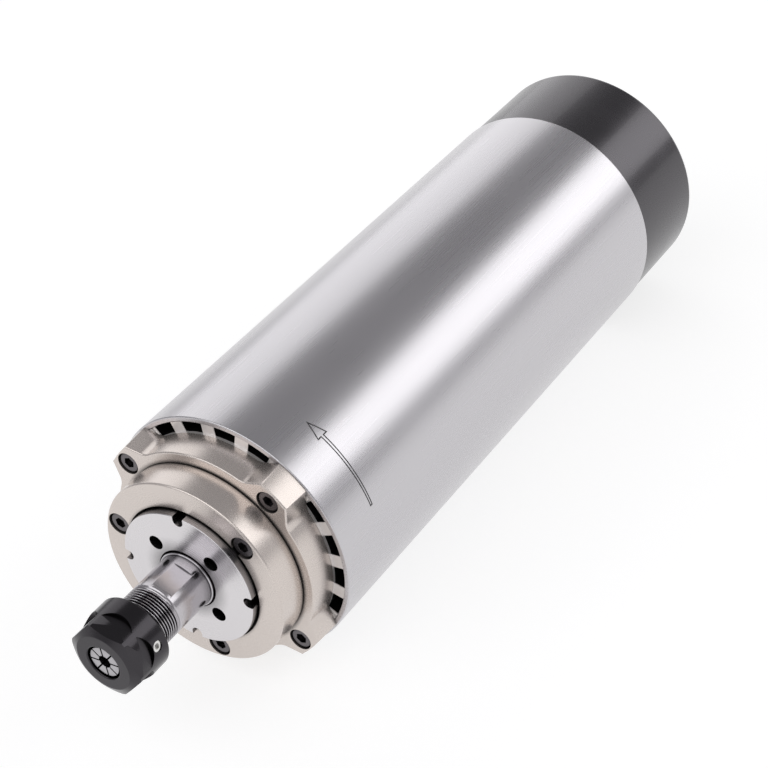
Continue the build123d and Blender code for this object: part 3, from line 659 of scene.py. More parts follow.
# Extruded aluminium, degreased: pale and nearly matt.
PLAIN_ALUMINIUM = Finish(
    "extruded_aluminium", "plain_aluminium", "#dddbda", roughness=0.36, marks=Marks.ALONG, grain=0.3,
    depth=0.002,
)
# The finned tube: extruded aluminium faced bright at its front end, painted in shade behind its front faces.
FACED_ALUMINIUM = Finish(
    "front_faced_aluminium", "plain_aluminium", "#ece8e6", metallic=0.6, roughness=0.34, grain=0.3,
    depth=0.002, dark_behind=0.75,
)
# Stamped electrical steel sheets in a stack, half a millimetre each.
LAMINATIONS = Finish(
    "stacked_laminations", "laminations", "#7d7f83", roughness=0.5, marks=Marks.STACKED, grain=0.5,
    depth=0.03,
)
# Enamelled copper wire, varnished: reddish with a gloss.
COPPER_WIRE = Finish(
    "varnished_copper_wire", "copper_wire", "#b5612f", metallic=0.8, roughness=0.32, marks=Marks.ROUND,
    grain=0.6, depth=0.08, tone=0.3, coat=0.5,
)
# Lapped bearing steel.
BEARING_STEEL = Finish(
    "lapped_bearing_steel", "bearing_steel", "#d0d0d2", roughness=0.12, marks=Marks.ROUND, depth=0.001,
)
# Machined brass of the bearing cages.
CAGE_BRASS = Finish("machined_brass", "cage_brass", "#c9a557", roughness=0.28, marks=Marks.ROUND, depth=0.003)
# Glass-filled nylon of the fan.
FAN_NYLON = Finish(
    "glass_filled_nylon", "fan_plastic", "#2b2b2d", metallic=0.0, roughness=0.5, grain=0.4, depth=0.01,
)
# Pressed spring steel of the dished washer.
WASHER_STEEL = Finish("pressed_spring_steel", "spring_steel", "#9a9a9c", roughness=0.3, marks=Marks.ROUND)
# Nickel plated brass of the panel socket.
SOCKET_NICKEL = Finish(
    "nickel_plated_brass", "socket_metal", "#cfccc4", roughness=0.2, marks=Marks.ROUND, depth=0.002,
)
# Thermoset block that holds the contacts.
THERMOSET = Finish(
    "black_thermoset", "insert_plastic", "#232325", metallic=0.0, roughness=0.4, grain=0.2, depth=0.004,
)
# Gold flash on the contacts.
GOLD_FLASH = Finish("gold_flashed_contacts", "pin_plating", "#e0b860", roughness=0.2, grain=0.1, depth=0.001)
# Silicone rubber of the leads.
SILICONE = Finish(
    "red_silicone", "lead_insulation", "#8e2320", metallic=0.0, roughness=0.55, grain=0.3, depth=0.004,
)
# Screen-printed ink of the arrow.
PRINT_INK = Finish(
    "screen_printed_ink", "black_cover", "#2a282a", metallic=0.0, roughness=0.5, grain=0.1, depth=0.001,
)


@dataclass
class SleeveTube:
    """The plain sleeve that the spindle is clamped by, with the printed arrow of its turning direction."""

    wall: float = 1.5
    rim_round: float = 0.35
    print_depth: float = 0.015
    arrow_y: float = 13.6
    arrow_tip: float = 32.9  # degrees
    arrow_head: float = 5.1
    arrow_head_width: float = 3.7
    arrow_tail: float = 20.0
    arrow_tail_width: float = 1.15
    arrow_taper: float = 0.8  # the tail's width at its end, as a share
    arrow_line: float = 0.3
    side_steps: int = 24  # on each side of the arrow, which bend it round the sleeve

    def build(self) -> None:
        """Makes the tube, a rounded rectangle turned about the axis, and prints the arrow on it."""
        at = Extent.of("outer_sleeve")
        outer = at.radius - self.print_depth
        corners = [
            (at.radius - self.wall, at.front, self.rim_round), (outer, at.front, self.rim_round),
            (outer, at.back, self.rim_round), (at.radius - self.wall, at.back, self.rim_round),
        ]
        tube = Piece("sleeve_tube", turned(rounded(corners), steps=FINE_STEPS))
        tube.finish("root", BRUSHED_STEEL, ["outer_sleeve"])
        arrow = Piece("direction_arrow", self._arrow(at.radius))
        arrow.finish("root", PRINT_INK)

    def _arrow(self, radius: float) -> Shell:
        """The outline of an arrow as a closed band of ink, wrapped on the sleeve.

        The outline's corners lie in (arc, y). Each side is cut into short steps, the band's inner edge is the
        outline moved along its corners' bisectors by the line's width, and arc becomes the angle arc / radius.
        """
        head, half, tail = self.arrow_head, self.arrow_head_width / 2, self.arrow_tail_width / 2
        end, thin = self.arrow_tail + head, tail * self.arrow_taper
        corners = np.array(
            [(0, 0), (head, half), (head, tail), (end, thin), (end, -thin), (head, -tail), (head, -half)]
        )
        sides = corners - np.roll(corners, 1, axis=0), np.roll(corners, -1, axis=0) - corners
        before, after = (
            np.stack([-d[:, 1], d[:, 0]], axis=1) / np.linalg.norm(d, axis=1, keepdims=True) for d in sides
        )
        shift = (before + after) / (1 + (before * after).sum(axis=1, keepdims=True))
        inner = corners - shift * self.arrow_line
        steps = np.linspace(0, 1, self.side_steps, endpoint=False)[None, :, None]
        flat = [
            (c[:, None] * (1 - steps) + np.roll(c, -1, axis=0)[:, None] * steps).reshape(-1, 2)
            for c in (corners, inner)
        ]
        tip = math.radians(self.arrow_tip)
        low = radius - 2 * self.print_depth
        rings = [
            polar(r, self.arrow_y + ring[:, 1], tip + ring[:, 0] / radius)
            for ring, r in ((flat[0], low), (flat[0], radius), (flat[1], radius), (flat[1], low))
        ]
        return grid(np.stack(rings), wrap_rows=True, wrap_columns=True)


@dataclass
class SocketScrew:
    """A socket-head screw: a turned head with a rounded top edge, a shank and a six-sided key hole."""

    head_radius: float = 2.75
    head_height: float = 3.0
    head_round: float = 0.35
    shank_radius: float = 1.5
    shank_length: float = 9.0
    key_width: float = 2.5
    key_depth: float = 1.5

    def shell(self) -> Shell:
        """The screw with its head's top at y = 0 and its shank towards +Y, on the axis."""
        seat = self.head_height
        corners = [
            (0, 0), (self.head_radius, 0, self.head_round), (self.head_radius, seat),
            (self.shank_radius, seat), (self.shank_radius, seat + self.shank_length, self.head_round),
            (0, seat + self.shank_length),
        ]
        return turned(rounded(corners, closed=False), steps=40, closed=False)

    def build(
        self, name: str, reach: float, angles: Array, top: float, node: str, backwards: bool = False
    ) -> None:
        """Makes a ring of these screws as one piece.

        Args:
            name: the piece's name.
            reach: the screws' distance from the axis.
            angles: their angles.
            top: y of the heads' tops.
            node: the CAD node that they stand for.
            backwards: whether the heads face +Y.
        """
        screw, key = self.shell(), hexagon(self.key_width, -PAST, self.key_depth)
        if backwards:
            screw, key = screw.flipped(), key.flipped()
        screws = Piece(name, Shell.joined(screw.ring(angles, reach, top))).cut(*key.ring(angles, reach, top))
        screws.finish("root", SCREW_STEEL, [node], edge=SCREW_EDGE)


@dataclass
class FrontBell:
    """The lobed front end bell: four drafted lobes on a round waist, screw wells and the bearing's hub."""

    standout: float = 7.3
    waist_radius: float = 28.1
    draft: float = 3.5  # degrees
    edge_round: float = 0.4
    lobe_count: int = 4
    lobe_phase: float = 45.0
    lobe_tip_width: float = 8.0
    lobe_flank: float = 34.0  # degrees from the lobe's middle line
    lobe_root_round: float = 4.0
    tip_radius: float = 32.1
    tip_chamfer: float = 0.5
    screw_radius: float = 28.4
    well_radius: float = 2.9
    well_depth: float = 3.4
    head_sink: float = 0.4
    face_radius: float = 24.0
    hub_radius: float = 20.0
    bore_radius: float = 16.1
    spigot_radius: float = 23.9
    spigot_length: float = 5.0
    arc_points: int = 9  # on half a lobe's tip, and on its root
    waist_points: int = 14
    flank_points: int = 6
    side_rows: int = 5

    def _outline(self) -> tuple[Array, Array]:
        """The outline at the bell's foot and its outward directions, as rows of (x, z).

        In a lobe's own frame, its middle line up, the waist is an arc of the waist's radius, the flank a
        straight line at the flank's angle, the root an arc tangent to both and the tip an arc of its radius.
        """
        flank, q = math.radians(self.lobe_flank), self.lobe_root_round
        waist, tip = self.waist_radius, self.tip_radius
        normal = np.array([math.cos(flank), math.sin(flank)])
        along = np.array([-math.sin(flank), math.cos(flank)])
        foot = np.array([self.lobe_tip_width / 2, self.tip_radius])
        offset = foot @ normal
        # The root's centre lies q outside the flank and q outside the waist.
        reach = math.sqrt((waist + q) ** 2 - (offset + q) ** 2)
        centre = normal * (offset + q) + along * reach
        waist_angle = math.atan2(centre[0], centre[1])
        on_flank = centre - normal * q
        top = normal * offset + along * math.sqrt(tip**2 - offset**2)
        tip_angle = math.atan2(top[0], top[1])
        tip_arc = np.linspace(0, tip_angle, self.arc_points)
        waist_arc = np.linspace(waist_angle, math.radians(180 / self.lobe_count), self.waist_points)
        start = math.atan2(*(on_flank - centre))
        stop = math.atan2(*(-centre))
        root = np.linspace(start, stop, self.arc_points)[1:-1]
        flank_share = np.linspace(0, 1, self.flank_points)[1:, None]
        half = np.vstack([
            arc(tip, tip_arc),
            top * (1 - flank_share) + on_flank * flank_share,
            centre + arc(q, root),
            arc(waist, waist_arc),
        ])
        lobe = np.vstack([half[::-1][:-1] * (-1, 1), half[:-1]])
        turns = np.radians(around(self.lobe_count, self.lobe_phase))
        c, s = np.cos(turns)[:, None], np.sin(turns)[:, None]
        x, z = lobe[:, 0][None], lobe[:, 1][None]
        points = np.stack([x * c + z * s, z * c - x * s], axis=-1).reshape(-1, 2)
        tangent = np.roll(points, -1, axis=0) - np.roll(points, 1, axis=0)
        tangent /= np.linalg.norm(tangent, axis=1, keepdims=True)
        return points, np.stack([-tangent[:, 1], tangent[:, 0]], axis=1)

    def _body(self, face: float) -> Shell:
        """The bell as rings of points from its bore over the face and the lobes to the hub's back.

        A ring of the side is the outline moved inwards by y tan(draft) and, in the rounded edge, by a further
        q (1 - cos t) at a height q (1 - sin t) short of the face. Its points never lie outside the tip's
        radius, less the chamfer near the face.
        """
        outline, outward = self._outline()
        if (outline * outward).sum() < 0:
            outward = -outward
        q = self.edge_round
        t = np.linspace(0, math.pi / 2, ARC_STEPS + 1)
        foot = self.standout - q
        heights = np.concatenate([np.linspace(0, foot, self.side_rows), foot + q * np.sin(t[1:])])
        further = np.concatenate([np.zeros(self.side_rows), q * (1 - np.cos(t[1:]))])
        inset = heights * math.tan(math.radians(self.draft)) + further
        side = outline[None] - outward[None] * inset[:, None, None]
        limit = self.tip_radius - np.clip(heights - (self.standout - self.tip_chamfer), 0, None) - further
        reach = np.linalg.norm(side, axis=-1, keepdims=True)
        side *= np.minimum(1, limit[:, None, None] / reach)
        y = np.broadcast_to(-heights[:, None, None], (*side.shape[:2], 1))
        side = np.concatenate([side[..., :1], y, side[..., 1:]], axis=-1)[::-1]
        angle = np.arctan2(outline[:, 0], outline[:, 1])
        hub_end = Extent.of("front_end_bell").back
        rings = [
            (self.bore_radius, face), (self.face_radius, face), (self.spigot_radius, 0.0),
            (self.spigot_radius, self.spigot_length), (self.hub_radius, self.spigot_length),
            (self.hub_radius, hub_end), (self.bore_radius, hub_end),
        ]
        round_rows = [polar(r, v, angle) for r, v in rings]
        rows = np.concatenate([np.stack(round_rows[:2]), side, np.stack(round_rows[2:])])
        return grid(rows, wrap_rows=True, wrap_columns=True)

    def build(self) -> None:
        """Makes the bell, cuts its wells and puts the lobes' screws in."""
        face = Extent.of("front_end_bell").front
        angles = around(self.lobe_count, self.lobe_phase)
        wells = rod(self.well_radius, face - PAST, face + self.well_depth).ring(angles, self.screw_radius)
        bell = Piece("lobed_bell", self._body(face)).cut(*wells)
        bell.finish("root", SATIN_NICKEL, ["front_end_bell"], edge=BROKEN_EDGE)
        screw = SocketScrew(head_radius=2.7, shank_length=9.4)
        screw.build("lobe_screws", self.screw_radius, angles, face + self.head_sink, "bell_screws")


@dataclass
class BearingCap:
    """The round cap, its screws and the turned lock ring inside it."""

    edge_round: float = 0.55
    screw_count: int = 3
    screw_phase: float = 54.0
    screw_radius: float = 21.3
    well_radius: float = 3.0
    well_depth: float = 3.4
    head_sink: float = 0.4
    foot_y: float = -7.3
    foot_height: float = 0.3
    foot_depth: float = 0.5
    spigot_radius: float = 19.2
    bore_radius: float = 16.02
    rim_gap: float = 0.4
    rim_depth: float = 3.0
    rim_round: float = 0.12
    lock_radius: float = 18.1
    lock_edge: float = 0.25
    lock_edge_inside: float = 0.2
    lock_rim_back: float = -9.0
    lock_skirt_radius: float = 16.0
    lock_skirt_wall: float = 2.8
    lock_back: float = -11.0
    lock_bore: float = 7.75
    lock_phase: float = 6.0
    notch_count: int = 4
    notch_radius: float = 1.4
    notch_reach: float = 17.1
    notch_depth: float = 4.0
    hole_radius: float = 1.9
    hole_reach: float = 10.9
    hole_depth: float = 5.0

    def build(self) -> None:
        """Makes the cap, its screws and the lock ring."""
        at = Extent.of("bearing_cap")
        lock_r = self.lock_radius + SLIP
        corners = [
            (lock_r + self.rim_gap, at.front, self.rim_round), (at.radius, at.front, self.edge_round),
            (at.radius, self.foot_y - self.foot_height),
            (at.radius - self.foot_depth, self.foot_y - self.foot_height),
            (at.radius - self.foot_depth, self.foot_y), (self.spigot_radius, self.foot_y),
            (self.spigot_radius, at.back), (self.bore_radius, at.back),
            (self.bore_radius, self.lock_rim_back), (lock_r, self.lock_rim_back),
            (lock_r, at.front + self.rim_depth), (lock_r + self.rim_gap, at.front + self.rim_depth),
        ]
        angles = around(self.screw_count, self.screw_phase)
        well = rod(self.well_radius, at.front - PAST, at.front + self.well_depth)
        cap = Piece("nose_cap", turned(rounded(corners), steps=FINE_STEPS))
        cap.cut(*well.ring(angles, self.screw_radius))
        cap.finish("root", SATIN_NICKEL, ["bearing_cap"], edge=BROKEN_EDGE)
        screw = SocketScrew(shank_length=10.5)
        screw.build("nose_cap_screws", self.screw_radius, angles, at.front + self.head_sink, "cap_screws")
        self._lock_ring()

    def _lock_ring(self) -> None:
        """Makes the lock ring, turned, with notches milled into its rim and blind holes for a pin wrench."""
        at = Extent.of("lock_ring")
        corners = [
            (self.lock_bore, at.front, self.lock_edge_inside), (self.lock_radius, at.front, self.lock_edge),
            (self.lock_radius, self.lock_rim_back), (self.lock_skirt_radius, self.lock_rim_back),
            (self.lock_skirt_radius, at.back), (self.lock_skirt_radius - self.lock_skirt_wall, at.back),
            (self.lock_skirt_radius - self.lock_skirt_wall, self.lock_back),
            (self.lock_bore, self.lock_back),
        ]
        notch = slot(self.notch_radius, self.lock_radius, at.front - PAST, at.front + self.notch_depth)
        angles = around(self.notch_count, self.lock_phase)
        hole = rod(self.hole_radius, at.front - PAST, at.front + self.hole_depth)
        holes = hole.ring(angles + 180.0 / self.notch_count, self.hole_reach)
        ring = Piece("turned_lock_ring", turned(rounded(corners), steps=FINE_STEPS))
        ring.cut(*notch.ring(angles, self.notch_reach), *holes)
        ring.finish("root", TURNED_ALUMINIUM, ["lock_ring"], edge=BROKEN_EDGE)


@dataclass
class SpindleShaft:
    """The shaft: the collet's seat, a fine thread, wrench flats and the ground journals behind them."""

    pitch: float = 0.75
    thread_depth: float = 0.46
    thread_steepness: float = 1.4
    thread_crest: float = 0.3
    thread_radius: float = 7.0
    thread_back: float = -29.7
    row_gap: float = 0.05  # at least, from the last row of points to the thread's end
    mouth_chamfer: float = 0.3
    undercut_radius: float = 6.7
    undercut_width: float = 0.35
    neck_start: float = 0.65  # behind the thread
    neck_radius: float = 7.0
    shoulder: float = -18.1
    journal_radius: float = 7.48
    journal_edge: float = 0.25
    bearing_end: float = 12.0
    shoulder_radius: float = 9.5
    shoulder_length: float = 4.0
    core_radius: float = 8.5
    core_end: float = 111.0
    rear_shoulder_radius: float = 7.5
    rear_journal: float = 122.0
    rear_radius: float = 5.98
    fan_start: float = 139.6
    fan_radius: float = 5.0
    fan_end: float = 150.6
    stud_radius: float = 4.0
    stud_round: float = 0.4
    seat_mouth: float = 5.76
    seat_floor: float = 3.84
    seat_end: float = -29.3
    seat_step: float = 0.5
    relief_radius: float = 3.3
    relief_end: float = -17.3
    flat_width: float = 13.0
    flat_start: float = -28.3
    flat_length: float = 7.8
    flat_phase: float = 25.0
    mill_width: float = 30.0
    mill_reach: float = 12.0

    def build(self) -> None:
        """Makes the shaft as one turned outline with the thread on fine rows, and mills the wrench flats."""
        at = Extent.of("shaft")
        first, last = at.front + self.mouth_chamfer, self.thread_back - self.row_gap
        rows = np.arange(first, last, self.pitch / THREAD_ROWS)
        thread = [(self.thread_radius, v) for v in rows]
        back, step = self.bearing_end + self.shoulder_length, self.seat_end + self.seat_step
        corners = [
            (0, self.relief_end), (self.relief_radius, self.relief_end), (self.relief_radius, step),
            (self.seat_floor, step), (self.seat_floor, self.seat_end), (self.seat_mouth, at.front),
            (self.thread_radius - self.mouth_chamfer, at.front), *thread,
            (self.undercut_radius, self.thread_back),
            (self.undercut_radius, self.thread_back + self.undercut_width),
            (self.neck_radius, self.thread_back + self.neck_start), (self.neck_radius, self.shoulder),
            (self.journal_radius, self.shoulder, self.journal_edge),
            (self.journal_radius, self.bearing_end), (self.shoulder_radius, self.bearing_end),
            (self.shoulder_radius, back, self.journal_edge), (self.core_radius, back),
            (self.core_radius, self.core_end), (self.rear_shoulder_radius, self.core_end),
            (self.rear_shoulder_radius, self.rear_journal), (self.rear_radius, self.rear_journal),
            (self.rear_radius, self.fan_start), (self.fan_radius, self.fan_start),
            (self.fan_radius, self.fan_end), (self.stud_radius, self.fan_end),
            (self.stud_radius, at.back, self.stud_round), (0, at.back),
        ]
        cut = Thread(
            self.thread_radius, self.pitch, self.thread_depth, at.front, self.thread_back,
            self.thread_steepness, self.thread_crest,
        )
        body = turned(rounded(corners, closed=False), closed=False, carve=cut.carve)
        end = self.flat_start + self.flat_length
        mill = block(self.mill_width, self.flat_start, end, self.flat_width / 2, self.mill_reach)
        shaft = Piece("ground_shaft", body).cut(*mill.ring(around(2, self.flat_phase)))
        shaft.finish("rotor", GROUND_STEEL, ["shaft"])


@dataclass
class ColletChuck:
    """The collet and its nut, with the small balancing screws in the nut's collar."""

    bore: float = 1.5875
    collet_length: float = 18.0
    collet_radius: float = 5.75
    collet_taper: float = 8.0  # degrees
    face_radius: float = 3.9
    face_length: float = 2.0
    face_round: float = 0.12
    land_radius: float = 5.055
    land_length: float = 0.9
    land_round: float = 0.1
    tail_round: float = 0.15
    groove_radius: float = 4.5
    groove_width: float = 1.2
    shoulder_run: float = 0.2
    slot_count: int = 8
    slot_width: float = 0.4
    slot_share: float = 0.78  # of the collet's length that each slot runs
    slot_inner: float = 0.8  # from the axis, inside the bore
    nut_radius: float = 9.5
    nut_bore: float = 7.06
    nut_opening: float = 4.4
    cone_radius: float = 5.09
    cone_angle: float = 30.0  # degrees from the axis
    face_chamfer: float = 1.1
    opening_round: float = 0.35
    front_round: float = 0.6
    back_round: float = 0.5
    bore_round: float = 0.4
    lip_gap: float = 0.1
    lip_offset: float = 0.5
    flat_count: int = 6
    flat_width: float = 17.0
    flat_reach: float = 6.7
    cutter_radius: float = 5.8
    flat_phase: float = 16.4
    screw_count: int = 2
    screw_phase: float = 81.7
    screw_radius: float = 1.3
    screw_from_back: float = 3.2
    screw_floor: float = 7.66
    screw_sink: float = 0.3
    key_width: float = 1.3
    key_depth: float = 0.8

    def build(self) -> None:
        """Makes the collet, the nut and the balancing screws."""
        self._collet()
        self._nut()
        self._balance()

    def _collet(self) -> None:
        """Makes the collet: a turned outline with thin slots from both ends in turn."""
        at = Extent.of("collet")
        groove = at.front + self.face_length + self.land_length
        shoulder = groove + self.groove_width + self.shoulder_run
        small = self.collet_radius - (at.back - shoulder) * math.tan(math.radians(self.collet_taper))
        corners = [
            (self.bore, at.front, self.face_round), (self.face_radius, at.front, self.face_round),
            (self.land_radius, at.front + self.face_length), (self.land_radius, groove, self.land_round),
            (self.groove_radius, groove), (self.groove_radius, groove + self.groove_width),
            (self.collet_radius, shoulder, self.land_round),
            (small, at.back, self.tail_round), (self.bore, at.back),
        ]
        run = self.collet_length * self.slot_share
        cuts = (at.front - PAST, at.front + run, 0.0), (at.back - run, at.back + PAST, 180.0 / self.slot_count)
        collet = Piece("slotted_collet", turned(rounded(corners), steps=144))
        for start, end, turn in cuts:
            saw = block(self.slot_width, start, end, self.slot_inner, self.collet_radius + PAST)
            collet.cut(*saw.ring(around(self.slot_count, turn)))
        collet.finish("collet", COLLET_STEEL, ["collet"])

    def _nut(self) -> None:
        """Makes the nut: turned, with milled flats that end in arcs and holes for the balancing screws."""
        at = Extent.of("collet_nut")
        collet = Extent.of("collet")
        groove = collet.front + self.face_length + self.land_length
        cone_y = collet.front + self.face_length
        opening_y = cone_y - (self.cone_radius - self.nut_opening) / math.tan(math.radians(self.cone_angle))
        lip_front, lip_back = groove + self.lip_gap, groove + self.groove_width - self.lip_gap
        lip = self.groove_radius + self.lip_gap + self.lip_offset
        corners = [
            (self.nut_opening, at.front, self.opening_round),
            (self.nut_radius - 2 * self.face_chamfer, at.front, self.front_round),
            (self.nut_radius, at.front + self.face_chamfer), (self.nut_radius, at.back, self.back_round),
            (self.nut_bore, at.back, self.bore_round), (self.nut_bore, lip_back), (lip, lip_back),
            (lip, lip_front), (self.cone_radius, lip_front), (self.cone_radius, cone_y),
            (self.nut_opening, opening_y),
        ]
        low, high = self.flat_width / 2, self.nut_radius + PAST
        cutter = slot(self.cutter_radius, self.flat_reach, low, high, steps=64)
        cutter = cutter.upright(at.front + self.flat_reach - self.cutter_radius)
        hole = rod(self.screw_radius + SLIP, self.screw_floor, self.nut_radius + PAST)
        hole = hole.upright(at.back - self.screw_from_back)
        nut = Piece("black_collet_nut", turned(rounded(corners)))
        for tool in cutter.ring(around(self.flat_count, self.flat_phase)):
            nut.cut(tool)
        nut.cut(*hole.ring(around(self.screw_count, self.screw_phase)))
        nut.finish("nut", BLACK_OXIDE, ["collet_nut"], edge=WIDE_EDGE)

    def _balance(self) -> None:
        """Makes the balancing screws: short bars with a key hole, one on each side of the collar."""
        at = Extent.of("collet_nut")
        middle, top = at.back - self.screw_from_back, self.nut_radius - self.screw_sink
        bar = rod(self.screw_radius, self.screw_floor, top).upright(middle)
        key = hexagon(self.key_width, top - self.key_depth, top + PAST).upright(middle)
        angles = around(self.screw_count, self.screw_phase)
        screws = Piece("nut_balance_screws", Shell.joined(bar.ring(angles))).cut(*key.ring(angles))
        screws.finish("nut", BRIGHT_ZINC, ["balance_screws"], edge=SCREW_EDGE)


@dataclass
class RearCover:
    """The black cap on the back with its air slots and screws."""

    wall: float = 2.0
    end_wall: float = 2.5
    edge_round: float = 1.6
    mouth_round: float = 0.3
    inner_round: float = 0.8
    spigot_radius: float = 30.98
    spigot_wall: float = 1.6
    sleeve_end: float = 152.5
    slot_count: int = 20
    slot_width: float = 2.2
    slot_inner: float = 13.0
    slot_outer: float = 24.0
    post_count: int = 4
    post_reach: float = 26.4
    post_phase: float = 45.0
    well_radius: float = 3.0
    head_height: float = 1.6
    head_sink: float = 0.2
    head_radius: float = 2.75
    neck_radius: float = 7.02

    def build(self) -> None:
        """Makes the cover and its screws."""
        at = Extent.of("rear_cover")
        wall_y = at.back - self.end_wall
        corners = [
            (self.neck_radius, at.back), (at.radius, at.back, self.edge_round),
            (at.radius, self.sleeve_end, self.mouth_round), (self.spigot_radius, self.sleeve_end),
            (self.spigot_radius, at.front, self.mouth_round),
            (self.spigot_radius - self.spigot_wall, at.front),
            (self.spigot_radius - self.spigot_wall, self.sleeve_end + self.wall),
            (at.radius - self.wall, self.sleeve_end + self.wall),
            (at.radius - self.wall, wall_y, self.inner_round), (self.neck_radius, wall_y),
        ]
        seat = at.back - self.head_height - self.head_sink
        angles = around(self.post_count, self.post_phase)
        wells = rod(self.well_radius, seat, at.back + PAST).ring(angles, self.post_reach)
        saw = block(self.slot_width, wall_y - PAST, at.back + PAST, self.slot_inner, self.slot_outer)
        cover = Piece("rear_cap", turned(rounded(corners), steps=FINE_STEPS))
        cover.cut(*saw.ring(around(self.slot_count)), *wells)
        cover.finish("root", BLACK_COVER, ["rear_cover"], edge=WIDE_EDGE)
        screw = SocketScrew(
            head_radius=self.head_radius, head_height=self.head_height, head_round=0.7, shank_length=16.0,
            key_width=2.0, key_depth=1.0,
        )
        top = at.back - self.head_sink
        screw.build("rear_cap_screws", self.post_reach, angles, top, "cover_screws", backwards=True)


@dataclass
class PanelSocket:
    """The four-pole panel socket: a threaded metal shell, the block inside it and its contacts."""

    pitch: float = 1.0
    thread_depth: float = 0.5
    thread_radius: float = 8.0
    flange_radius: float = 9.5
    flange_back: float = 184.0
    flange_round: float = 0.4
    first_row: float = 0.2  # of the thread's points, behind the flange
    row_gap: float = 0.45  # at least, from the last row to the mouth
    mouth_round: float = 0.15
    cover_back: float = 182.0
    neck_radius: float = 7.0
    bore_radius: float = 6.4
    pin_count: int = 4
    pin_reach: float = 3.7
    pin_phase: float = 18.4
    pin_radius: float = 0.8
    pin_round: float = 0.6
    cup_radius: float = 1.1
    block_round: float = 0.3
    block_edge: float = 0.1

    def build(self) -> None:
        """Makes the shell, the block and the contacts."""
        at = Extent.of("socket_shell")
        first, last = self.flange_back + self.first_row, at.back - self.row_gap
        rows = np.arange(first, last, self.pitch / THREAD_ROWS)
        corners = [
            (self.bore_radius, at.front), (self.neck_radius, at.front), (self.neck_radius, self.cover_back),
            (self.flange_radius, self.cover_back), (self.flange_radius, self.flange_back, self.flange_round),
            (self.thread_radius, self.flange_back), *((self.thread_radius, v) for v in rows),
            (self.thread_radius - self.thread_depth, at.back, self.mouth_round),
            (self.bore_radius, at.back, self.mouth_round),
        ]
        cut = Thread(self.thread_radius, self.pitch, self.thread_depth, self.flange_back, at.back)
        shell = Piece("socket_barrel", turned(rounded(corners), carve=cut.carve))
        shell.finish("root", SOCKET_NICKEL, ["socket_shell"])
        angles = around(self.pin_count, self.pin_phase)
        block_at = Extent.of("socket_insert")
        corners = [
            (0, block_at.front), (block_at.radius, block_at.front),
            (block_at.radius, block_at.back, self.block_round), (0, block_at.back),
        ]
        body = turned(rounded(corners, closed=False), steps=96, closed=False)
        hole = rod(self.pin_radius + SLIP, block_at.front - PAST, block_at.back + PAST, steps=24)
        insert = Piece("socket_block", body).cut(*hole.ring(angles, self.pin_reach))
        insert.finish("root", THERMOSET, ["socket_insert"], edge=self.block_edge)
        pins_at = Extent.of("socket_pins")
        corners = [
            (0, pins_at.front), (self.cup_radius, pins_at.front), (self.cup_radius, block_at.front),
            (self.pin_radius, block_at.front), (self.pin_radius, pins_at.back, self.pin_round),
            (0, pins_at.back),
        ]
        pin = turned(rounded(corners, closed=False), steps=24, closed=False)
        pins = Piece("socket_contacts", Shell.joined(pin.ring(angles, self.pin_reach)))
        pins.finish("root", GOLD_FLASH, ["socket_pins"])


class Inside:
    """The pieces that stay as the CAD made them, each with the finish of its material."""

    NODES: dict[Finish, tuple[str, ...]] = {
        FACED_ALUMINIUM: ("stator_housing",),
        LAMINATIONS: ("stator_core", "rotor_core"),
        COPPER_WIRE: ("stator_windings",),
        BEARING_STEEL: (
            "front_outer_races", "rear_outer_race", "front_inner_races", "rear_inner_race", "front_balls",
            "second_balls", "rear_balls",
        ),
        PLAIN_ALUMINIUM: ("rear_bracket", "rotor_end_rings"),
        WASHER_STEEL: ("preload_spring",),
        BRIGHT_ZINC: ("bracket_posts", "fan_nut"),
        SOCKET_NICKEL: ("socket_nut",),
        SILICONE: ("lead_wires",),
        SCREW_STEEL: ("bearing_lock_nut",),
        FAN_NYLON: ("cooling_fan",),
        CAGE_BRASS: ("front_cage", "second_cage", "rear_cage"),
    }

    def build(self) -> None:
        """Gives each of these nodes its finish through its own material slots."""
        for look, nodes in self.NODES.items():
            for node in nodes:
                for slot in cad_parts[node].material_slots:
                    slot.material = look.material()
                log.info("%s keeps its CAD shape, as %s", node, look.name)


def aimed(made: bpy.types.Object, place: Vector, right: Vector, up: Vector, back: Vector) -> None:
    """Puts a lamp or a camera at a place, with its own X, Y and Z along right, up and back."""
    made.matrix_world = Matrix.Translation(place) @ Matrix((right, up, back)).transposed().to_4x4()


@dataclass(frozen=True)
class Softbox:
    """A rectangular lamp that faces the spindle's middle. Its sizes are in metres."""

    name: str
    towards: tuple[float, float, float]  # from the spindle's middle
    width: float
    length: float  # along the spindle
    radiance: float  # 1 shows as white
    distance: float = 1.6

    def hang(self, centre: Vector) -> None:
        """Hangs the lamp. Its power is its radiance times pi times its area.

        Args:
            centre: the place that it faces.
        """
        data = bpy.data.lights.new(self.name, "AREA")
        data.shape, data.size, data.size_y = "RECTANGLE", self.width, self.length
        data.energy = self.radiance * math.pi * self.width * self.length
        away, along = Vector(self.towards).normalized(), Vector((0.0, 1.0, 0.0))
        up = (along - away * along.dot(away)).normalized()
        aimed(added(self.name, data), centre + away * self.distance, up.cross(away), up, away)


